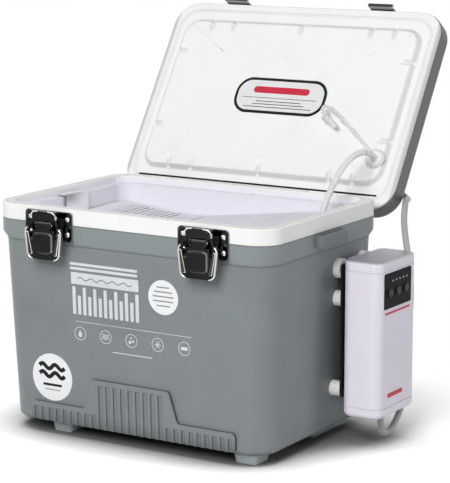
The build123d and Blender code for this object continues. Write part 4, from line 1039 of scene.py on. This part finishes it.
class COOLER_OT_lid(bpy.types.Operator):
    """Grey lid shell, white inner face with its raised plug and ramps, gasket and label plate"""

    bl_idname = "cooler.lid"
    bl_label = "Lid"

    def execute(self, context):
        looks = context.scene.cooler_looks
        dress(["lid_shell"], lid_grey())
        face = grid(lid_face_points(), poles=(False, True))
        inner_face = piece("lid_inner_face", [face], lid_white(), "lid")
        wall = inner_face.modifiers.new("Wall", "SOLIDIFY")
        wall.thickness, wall.offset = 0.8 * MM, -1
        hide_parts("lid_liner")
        # A black line at the lid's foot: painted shadow of the gap between the lid and the rim.
        piece("lid_foot_seam", [ribbon(np.array(FOOT_SHADOW_LINE), 2.0, on_lid, 1.3, 0.86)], ink_and_shade_black(), "lid")
        path = rounded(*GASKET, arc=12, straight=24)
        out = looks.gasket_bulb / MM
        turn = np.linspace(0, math.pi, 11)
        bulb = [(-1.9, 2.6), (1.9, 2.6)] + [(1.9 * math.cos(t), 1.0 - out * math.sin(t)) for t in turn]
        gasket = piece("lid_gasket_bulb", [rail(path, bulb, on_lid)], rubber_white(), "lid")
        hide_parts("lid_gasket")
        lid_label(looks.print_relief / MM, looks.accent)
        return {"FINISHED"}


# ---- Hinges ----
class COOLER_OT_hinges(bpy.types.Operator):
    """Hinge brackets, knuckles and pins"""

    bl_idname = "cooler.hinges"
    bl_label = "Hinges"

    def execute(self, context):
        dress(["hinge_brackets", "hinge_knuckles"], dark_grey(), 0.3)
        dress(["hinge_pins"], bright_steel_and_glint(), 0.15)
        return {"FINISHED"}


# ---- Latches: drawn as (x, z, out) from each latch's own middle line ----
PLATE, PLATE_HEIGHT = (55.0, 28.5, 4.0), 196.75
RIVET_ACROSS, RIVET_UP = 21.5, 7.25
LEVER_OUT, LEVER_FOOT = 10.9, 11.05
BOSS = ((-8.6, 170.6), (8.6, 170.6), (10.2, 191.5), (-10.2, 191.5))
SHOULDER = ((12.0, 169.6), (15.9, 169.6), (19.7, 191.5), (17.1, 191.5))
SHIELD = ((-17.6, 165.7), (17.6, 165.7), (21.3, 196.7), (-21.3, 196.7))
CLAW_ARCH = (
    (-14.2, 204.0, 9.5), (-13.8, 208.6, 10.2), (-11.0, 210.9, 10.6), (-5.5, 211.5, 10.7), (0.0, 211.6, 10.7),
    (5.5, 211.5, 10.7), (11.0, 210.9, 10.6), (13.8, 208.6, 10.2), (14.2, 204.0, 9.5),
)
# A turned profile is (radius, height).
RIVET = ((0, 2.5), (0.9, 2.42), (1.7, 2.1), (2.3, 1.6), (2.6, 1.2), (2.6, 1.1), (0, 1.1))


def lever_rims(x, roll):
    """Rolled edges down both sides of a lever: tubes along its shield's outline, thickest where it bends."""
    shield = corners(SHIELD, 6.2, 8)
    straight = shield[18] + (shield[17] - shield[18]) * np.array([[0.33], [0.67]])
    half = np.concatenate([shield[23:17:-1], straight, shield[17:8:-1], [(0.5, 165.7)]])
    size = roll * np.interp(np.arange(len(half)), [0, 5, 8, len(half) - 1], [0.6, 1.2, 1.1, 0.7])
    sides = [np.column_stack([x + sign * half[:, 0], half[:, 1], np.full(len(half), 11.0)]) for sign in (-1, 1)]
    return [tube(on_latch(line), size, 14) for line in sides]


class COOLER_OT_latches(bpy.types.Operator):
    """Dark polished draw latches, their rolled edges and claw lips bright as painted highlights, with domed
    rivets, claws and keepers
    """

    bl_idname = "cooler.latches"
    bl_label = "Latches"

    def execute(self, context):
        roll = context.scene.cooler_looks.rim_roll / MM
        dark, bright, pressed = dark_steel(), bright_steel_and_glint(), glint_pressed_steel()
        half_round = [(roll * math.cos(t) - roll, 1.2 + roll * math.sin(t)) for t in np.linspace(0, math.pi, 7)]
        for side, x in LATCH_X.items():
            # Dark nickel, with a painted reflection where faces turn from the front.
            dress([f"latch_plate_{side}", f"latch_lever_{side}", f"latch_claw_{side}"], dark, 0.25)
            dress([f"lid_keeper_{side}", f"claw_pin_{side}"], dark, 0.2)
            edge = rounded(*PLATE, arc=6, centre=(x, PLATE_HEIGHT))
            boss = dome(corners(np.add(BOSS, (x, 0)), 4.5, 8), on_latch, LEVER_OUT, LEVER_FOOT, 1.8, 3.8)
            right = np.array(SHOULDER)
            shoulders = [dome(corners(points + (x, 0), 1.2, 6), on_latch, LEVER_OUT, LEVER_FOOT, 1.2, 1.15)
                         for points in (right, right[::-1] * (-1, 1))]
            lip = tube(on_latch(np.add(CLAW_ARCH, (x, 0, 0))), 0.75, 14)
            for name, parts, material, body in (
                    ("plate_rim", [rail(edge, half_round, on_latch)], dark, "box"),
                    # Rolled edges in bright steel: painted highlight on the lever's dark nickel.
                    ("lever_rim", lever_rims(x, roll), bright, f"lever_{side}"),
                    ("lever_boss", [boss], dark, f"lever_{side}"),
                    # Shoulders in pressed steel: painted reflection on their sloping faces.
                    ("lever_shoulders", shoulders, pressed, f"lever_{side}"),
                    # The claw's lip in bright steel: painted highlight.
                    ("claw_lip", [lip], bright, f"claw_{side}")):
                piece(f"{name}_{side}", parts, material, body)
        dress(["lever_pins"], bright, 0.15)
        domes = [revolve(RIVET, (x + dx, RIM_FRONT, PLATE_HEIGHT + dz), (0, -1, 0), 20)
                 for x in LATCH_X.values() for dx in (-RIVET_ACROSS, RIVET_ACROSS) for dz in (-RIVET_UP, RIVET_UP)]
        heads = piece("rivet_domes", domes, bright, "box")
        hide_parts("latch_rivets")
        return {"FINISHED"}


# ---- Tray and tub ----
class COOLER_OT_tray(bpy.types.Operator):
    """Slotted bait tray and the air stone below it"""

    bl_idname = "cooler.tray"
    bl_label = "Tray and air stone"

    def execute(self, context):
        # Painted shade on faces that turn from level, the walls of the tray's cut-outs.
        painted_slot_shade = painted_turn_light((0.36, 0.36, 0.4), (0, 0, 1), 0.25, 0.6)
        dress(["bait_tray"], finish("Tray plastic", (0.8, 0.79, 0.85), 0.4, tone=0.04, relief=0.02, tint=painted_slot_shade), 0)
        dress(["air_stone"], stone_finish("Air stone", (0.3, 0.33, 0.42)), 0)
        return {"FINISHED"}


# ---- Printing on the front: drawn as (x, z) on the wall ----
PRINT_LOW, OVER_PRINT = -0.2, 0.06
SCALE_BASE, SCALE_TOPS = 112.5, (139.5, 131.0)
SIGN_HEIGHT, SIGN_RADIUS = 94.0, 6.3
BAND, BAND_CENTRE = (77.0, 11.5, 0.6), (-27.0, 147.6)
BADGE, DISC = (39.0, 140.0), (-92.0, 46.0)
# Rules: half their length, their height, and on the disc their width.
BADGE_RULES = ((7, 149.6), (10, 145.2), (11.5, 140.8), (11, 136.4), (7.5, 132))
DISC_RULES = ((11, 38.4, 2.4), (9, 33.6, 0.6))


def wave_line(start, end, y, height, waves, count=40):
    """A wavy line: y + height * sin(2 pi * waves * t)."""
    t = np.linspace(0, 1, count)
    return np.column_stack([start + (end - start) * t, y + height * np.sin(2 * math.pi * waves * t)])


def drop_outline(centre, size, count=36):
    """A water drop: x = sin a * sin^1.5(a/2), y = cos a, point upwards."""
    a = np.linspace(0, 2 * math.pi, count, endpoint=False)
    return np.column_stack([0.8 * np.sin(a) * np.abs(np.sin(a / 2)) ** 1.5, np.cos(a)]) * -size * (-1, -1) + centre


def level_line(x, half, z):
    """The two ends of a level line about x."""
    return np.array([[x - half, z], [x + half, z]])


def printed_bars(inked, line):
    """Two bars, a band, a measuring scale and two long rules."""
    parts = [line([[-66.5, z], [10.5, z]], 2.6) for z in (161.6, 157.2)]
    parts.append(inked(rounded(*BAND, arc=2, centre=BAND_CENTRE)))
    for i, x in enumerate(np.linspace(-62.6, 9.6, 13)):
        top = SCALE_TOPS[i % 2]
        tall, middle = top - SCALE_BASE, (top + SCALE_BASE) / 2
        parts.append(inked(rounded(3.6, tall, 0.8, arc=2, centre=(x, middle))))
    return parts + [line([[-62.0, 105.6], [69.0, 105.6]], 0.5), line([[-20.0, 80.2], [25.0, 80.2]], 0.8)]


def printed_signs(inked, line):
    """Five rings with a drop, waves, bubbles, a snow star and a capsule."""
    places = np.linspace(-57.0, 61.0, 5)
    z = SIGN_HEIGHT
    parts = [line(circle(SIGN_RADIUS, 40, (x, z)), 0.6, closed=True) for x in places]
    parts.append(inked(drop_outline((places[0], z), 3.6)))
    for dz in (-1.9, 0.0, 1.9):
        parts.append(line(wave_line(places[1] - 3.9, places[1] + 3.9, z + dz, 0.6, 1.5, 24), 0.8))
    for dx, dz, radius in ((-1.7, -1.6, 1.7), (1.9, -0.4, 1.2), (-0.2, 2.4, 0.9)):
        parts.append(inked(circle(radius, 20, (places[2] + dx, z + dz))))
    for turn in np.arange(3) * math.pi / 3:
        arm = 3.8 * np.array([math.cos(turn), math.sin(turn)])
        parts.append(line(np.array([-arm, arm]) + (places[3], z), 0.7))
    return parts + [inked(rounded(8.0, 3.4, 1.7, arc=5, centre=(places[4], z)))]


class COOLER_OT_printing(bpy.types.Operator):
    """Plain white printing on the front wall: bands, a measuring scale, water signs and two discs"""

    bl_idname = "cooler.printing"
    bl_label = "Printing"

    def execute(self, context):
        high = context.scene.cooler_looks.print_relief / MM

        def inked(outline):
            return slab(outline, on_wall, PRINT_LOW, high)

        def line(path, width, closed=False):
            return ribbon(np.asarray(path, float), width, on_wall, PRINT_LOW, high, closed)

        piece("front_printing", printed_bars(inked, line) + printed_signs(inked, line), print_white(), "box")
        over = high + OVER_PRINT
        wave = ribbon(wave_line(-58, 4, BAND_CENTRE[1], 1.3, 5, 90), 1.0, on_wall, 0, over)
        piece("front_band_wave", [wave], shell_grey(), "box")
        bright = finish("White sticker", (0.82, 0.83, 0.845), 0.45, tone=0.02, marks=0.5)
        discs = [slab(circle(16.5, 64, BADGE), on_wall, PRINT_LOW, high, 0.05),
                 slab(circle(23.5, 72, DISC), on_wall, PRINT_LOW, 2 * high, 0.05)]
        piece("front_discs", discs, bright, "box")
        rules = [ribbon(level_line(BADGE[0], half, z), 1.1, on_wall, 0, over) for half, z in BADGE_RULES]
        piece("badge_rules", rules, shell_grey(), "box")
        over = 2 * high + 0.08
        waves = [ribbon(wave_line(-107, -77, z, 2.3, 2, 60), 4.0, on_wall, 0, over) for z in (56.5, 48.5)]
        waves += [ribbon(level_line(DISC[0], half, z), wide, on_wall, 0, over) for half, z, wide in DISC_RULES]
        piece("disc_waves", waves, ink_and_shade_black(), "box")
        return {"FINISHED"}


# ---- Pump ----
MODES = ("low", "steady", "pulse")
BUTTON_PITCH, BUTTON_HEIGHT, SIGN_LOW, SIGN_TOP = 16.2, 139.0, 1.5, 1.78
# Stripes: from y, to y, height, width.
PUMP_STRIPES = ((20.0, 70.0, 119.8, 2.0), (27.0, 57.0, 40.0, 4.2))


class COOLER_OT_pump(bpy.types.Operator):
    """Air pump: housing, caps, glossy control panel with buttons and lights, clip, hanger and bumpers"""

    bl_idname = "cooler.pump"
    bl_label = "Pump"

    def execute(self, context):
        looks = context.scene.cooler_looks
        # Painted shade: the cap's top darker.
        top = painted_top_shade(shade(looks.pump, 0.48), 167.4, 169.3)
        white = finish("Lilac white plastic", looks.pump, 0.3, tone=0.005, spread=0.02, relief=0.004, marks=0.05,
                       tint=top, Coat_Weight=0.15, Coat_Roughness=0.2)
        dress(["pump_housing", "pump_cap_top", "pump_cap_bottom", "pump_clip"], white, 0.25)
        panel = finish("Gloss black panel", (0.004, 0.004, 0.004), 0.3, tone=0.3, spread=0.05, relief=0.002,
                       marks=0.25, Specular_IOR_Level=0.04)
        dress(["pump_panel"], panel, 0.2)
        soft = finish("Soft black buttons", (0.02, 0.02, 0.02), 0.5, tone=0.2, relief=0.03,
                      Specular_IOR_Level=0.15)
        signs = finish("Grey sign print", (0.13, 0.13, 0.13), 0.5, tone=0.1)
        dress([f"button_{mode}" for mode in MODES], soft, 0.1)
        for index, mode in enumerate(MODES):
            y = PANEL_Y + (index - 1) * BUTTON_PITCH
            ring = circle(2.7, 32, (y, BUTTON_HEIGHT))
            marks = [ribbon(ring, 0.35, on_pump, SIGN_LOW, SIGN_TOP, closed=True)]
            for dot in range(index + 1):
                spot = circle(0.5, 16, (y + (dot - index / 2) * 1.5, BUTTON_HEIGHT))
                marks.append(slab(spot, on_pump, SIGN_LOW, SIGN_TOP))
            piece(f"button_sign_{mode}", marks, signs, f"button_{mode}")
        dress(["pump_lights"], finish("Light lenses", (0.4, 0.4, 0.38), 0.25, relief=0.01, Coat_Weight=0.3), 0)
        # The hanger black as painted shade in the gap between the pump and the box.
        dress(["pump_hanger"], ink_and_shade_black(), 0.4)
        dress(["hanger_bumpers"], rubber_white(), 0.6)
        dress(["pump_board"], finish("Circuit board", (0.02, 0.12, 0.05), 0.4, tone=0.3), 0)
        dress(["pump_battery", "pump_motor"], bright_steel_and_glint(), 0.3)
        high = looks.print_relief / MM
        strips = [ribbon(np.array([[a, z], [b, z]]), wide, on_pump, PRINT_LOW, high)
                  for a, b, z, wide in PUMP_STRIPES]
        piece("pump_stripes", strips, finish("Red stripe", looks.accent, 0.45), "pump")
        return {"FINISHED"}


# ---- Grommet and vent plug ----
STRAP = (
    (123.2, 50.5, -5.6), (110.9, 39.6, -8.6), (96.4, 28.1, -11.2), (82.5, 17.5, -13.0), (70.8, 9.4, -13.8),
    (61.8, 8.1, -14.2), (60.4, 14.9, -13.6), (66.3, 18.9, -13.2),
)
VENT_TIP = (89.6, 35.2, -11.0)
WASHER = ((8.05, 0.0), (10.4, 0.0), (10.7, 0.5), (10.5, 1.5), (9.9, 1.9), (8.6, 1.9), (8.05, 1.6))
VENT_PLUG = (
    (0, -0.4), (3.6, -0.4), (4.8, 0.2), (5.0, 1.2), (4.8, 2.2), (3.4, 2.6), (2.9, 3.0), (2.75, 8), (3.1, 8.6),
    (2.7, 9.2), (2.6, 14), (2.95, 14.6), (2.5, 15.4), (2.3, 19.0), (1.6, 19.5), (0, 19.5),
)


class COOLER_OT_fittings(bpy.types.Operator):
    """Hose grommet, and the vent plug on its strap"""

    bl_idname = "cooler.fittings"
    bl_label = "Grommet and vent plug"

    def execute(self, context):
        dress(["hose_grommet"], rubber_white(), 0.3)
        down = on_lid((0, 0, -1)) - on_lid((0, 0, 0))
        line = line_of("strap_line", on_lid(STRAP)) / MM
        ripple = 0.25 * np.cos(np.linspace(0, 34, len(line)))
        size = 1.4 + 0.5 * smooth(1 - np.linspace(0, 6, len(line))) + ripple
        end = on_lid(STRAP[-1])
        parts = [revolve(WASHER, on_lid((*GROMMET, -4.0)), down, 44), tube(line, size, 16),
                 revolve(VENT_PLUG, end, on_lid(VENT_TIP) - end, 32)]
        vent = piece("vent_plug_and_strap", parts, clear_rubber(), "lid")
        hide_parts("vent_plug")
        return {"FINISHED"}


# ---- Panel and registration ----
OPERATORS = (
    COOLER_OT_stage, COOLER_OT_hoses, COOLER_OT_box, COOLER_OT_lid, COOLER_OT_hinges, COOLER_OT_latches,
    COOLER_OT_tray, COOLER_OT_printing, COOLER_OT_pump, COOLER_OT_fittings,
)


class COOLER_PT_panel(bpy.types.Panel):
    """Cooler pieces and settings"""

    bl_idname = "COOLER_PT_panel"
    bl_label = "Live-bait cooler"
    bl_space_type = "VIEW_3D"
    bl_region_type = "UI"
    bl_category = "Cooler"

    def draw(self, context):
        for operator in OPERATORS:
            self.layout.operator(operator.bl_idname)
        for group in (context.scene.cooler_stage, context.scene.cooler_looks):
            box = self.layout.box()
            for label in group.__annotations__:
                box.prop(group, label)


CLASSES = (CoolerStageSettings, CoolerLooks, *OPERATORS, COOLER_PT_panel)


def register():
    for kind in CLASSES:
        bpy.utils.register_class(kind)
    bpy.types.Scene.cooler_stage = PointerProperty(type=CoolerStageSettings)
    bpy.types.Scene.cooler_looks = PointerProperty(type=CoolerLooks)


def unregister():
    del bpy.types.Scene.cooler_looks
    del bpy.types.Scene.cooler_stage
    for kind in reversed(CLASSES):
        bpy.utils.unregister_class(kind)


def main():
    """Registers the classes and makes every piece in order."""
    register()
    for operator in OPERATORS:
        group, name = operator.bl_idname.split(".")
        getattr(getattr(bpy.ops, group), name)()


if __name__ == "__main__":
    main()
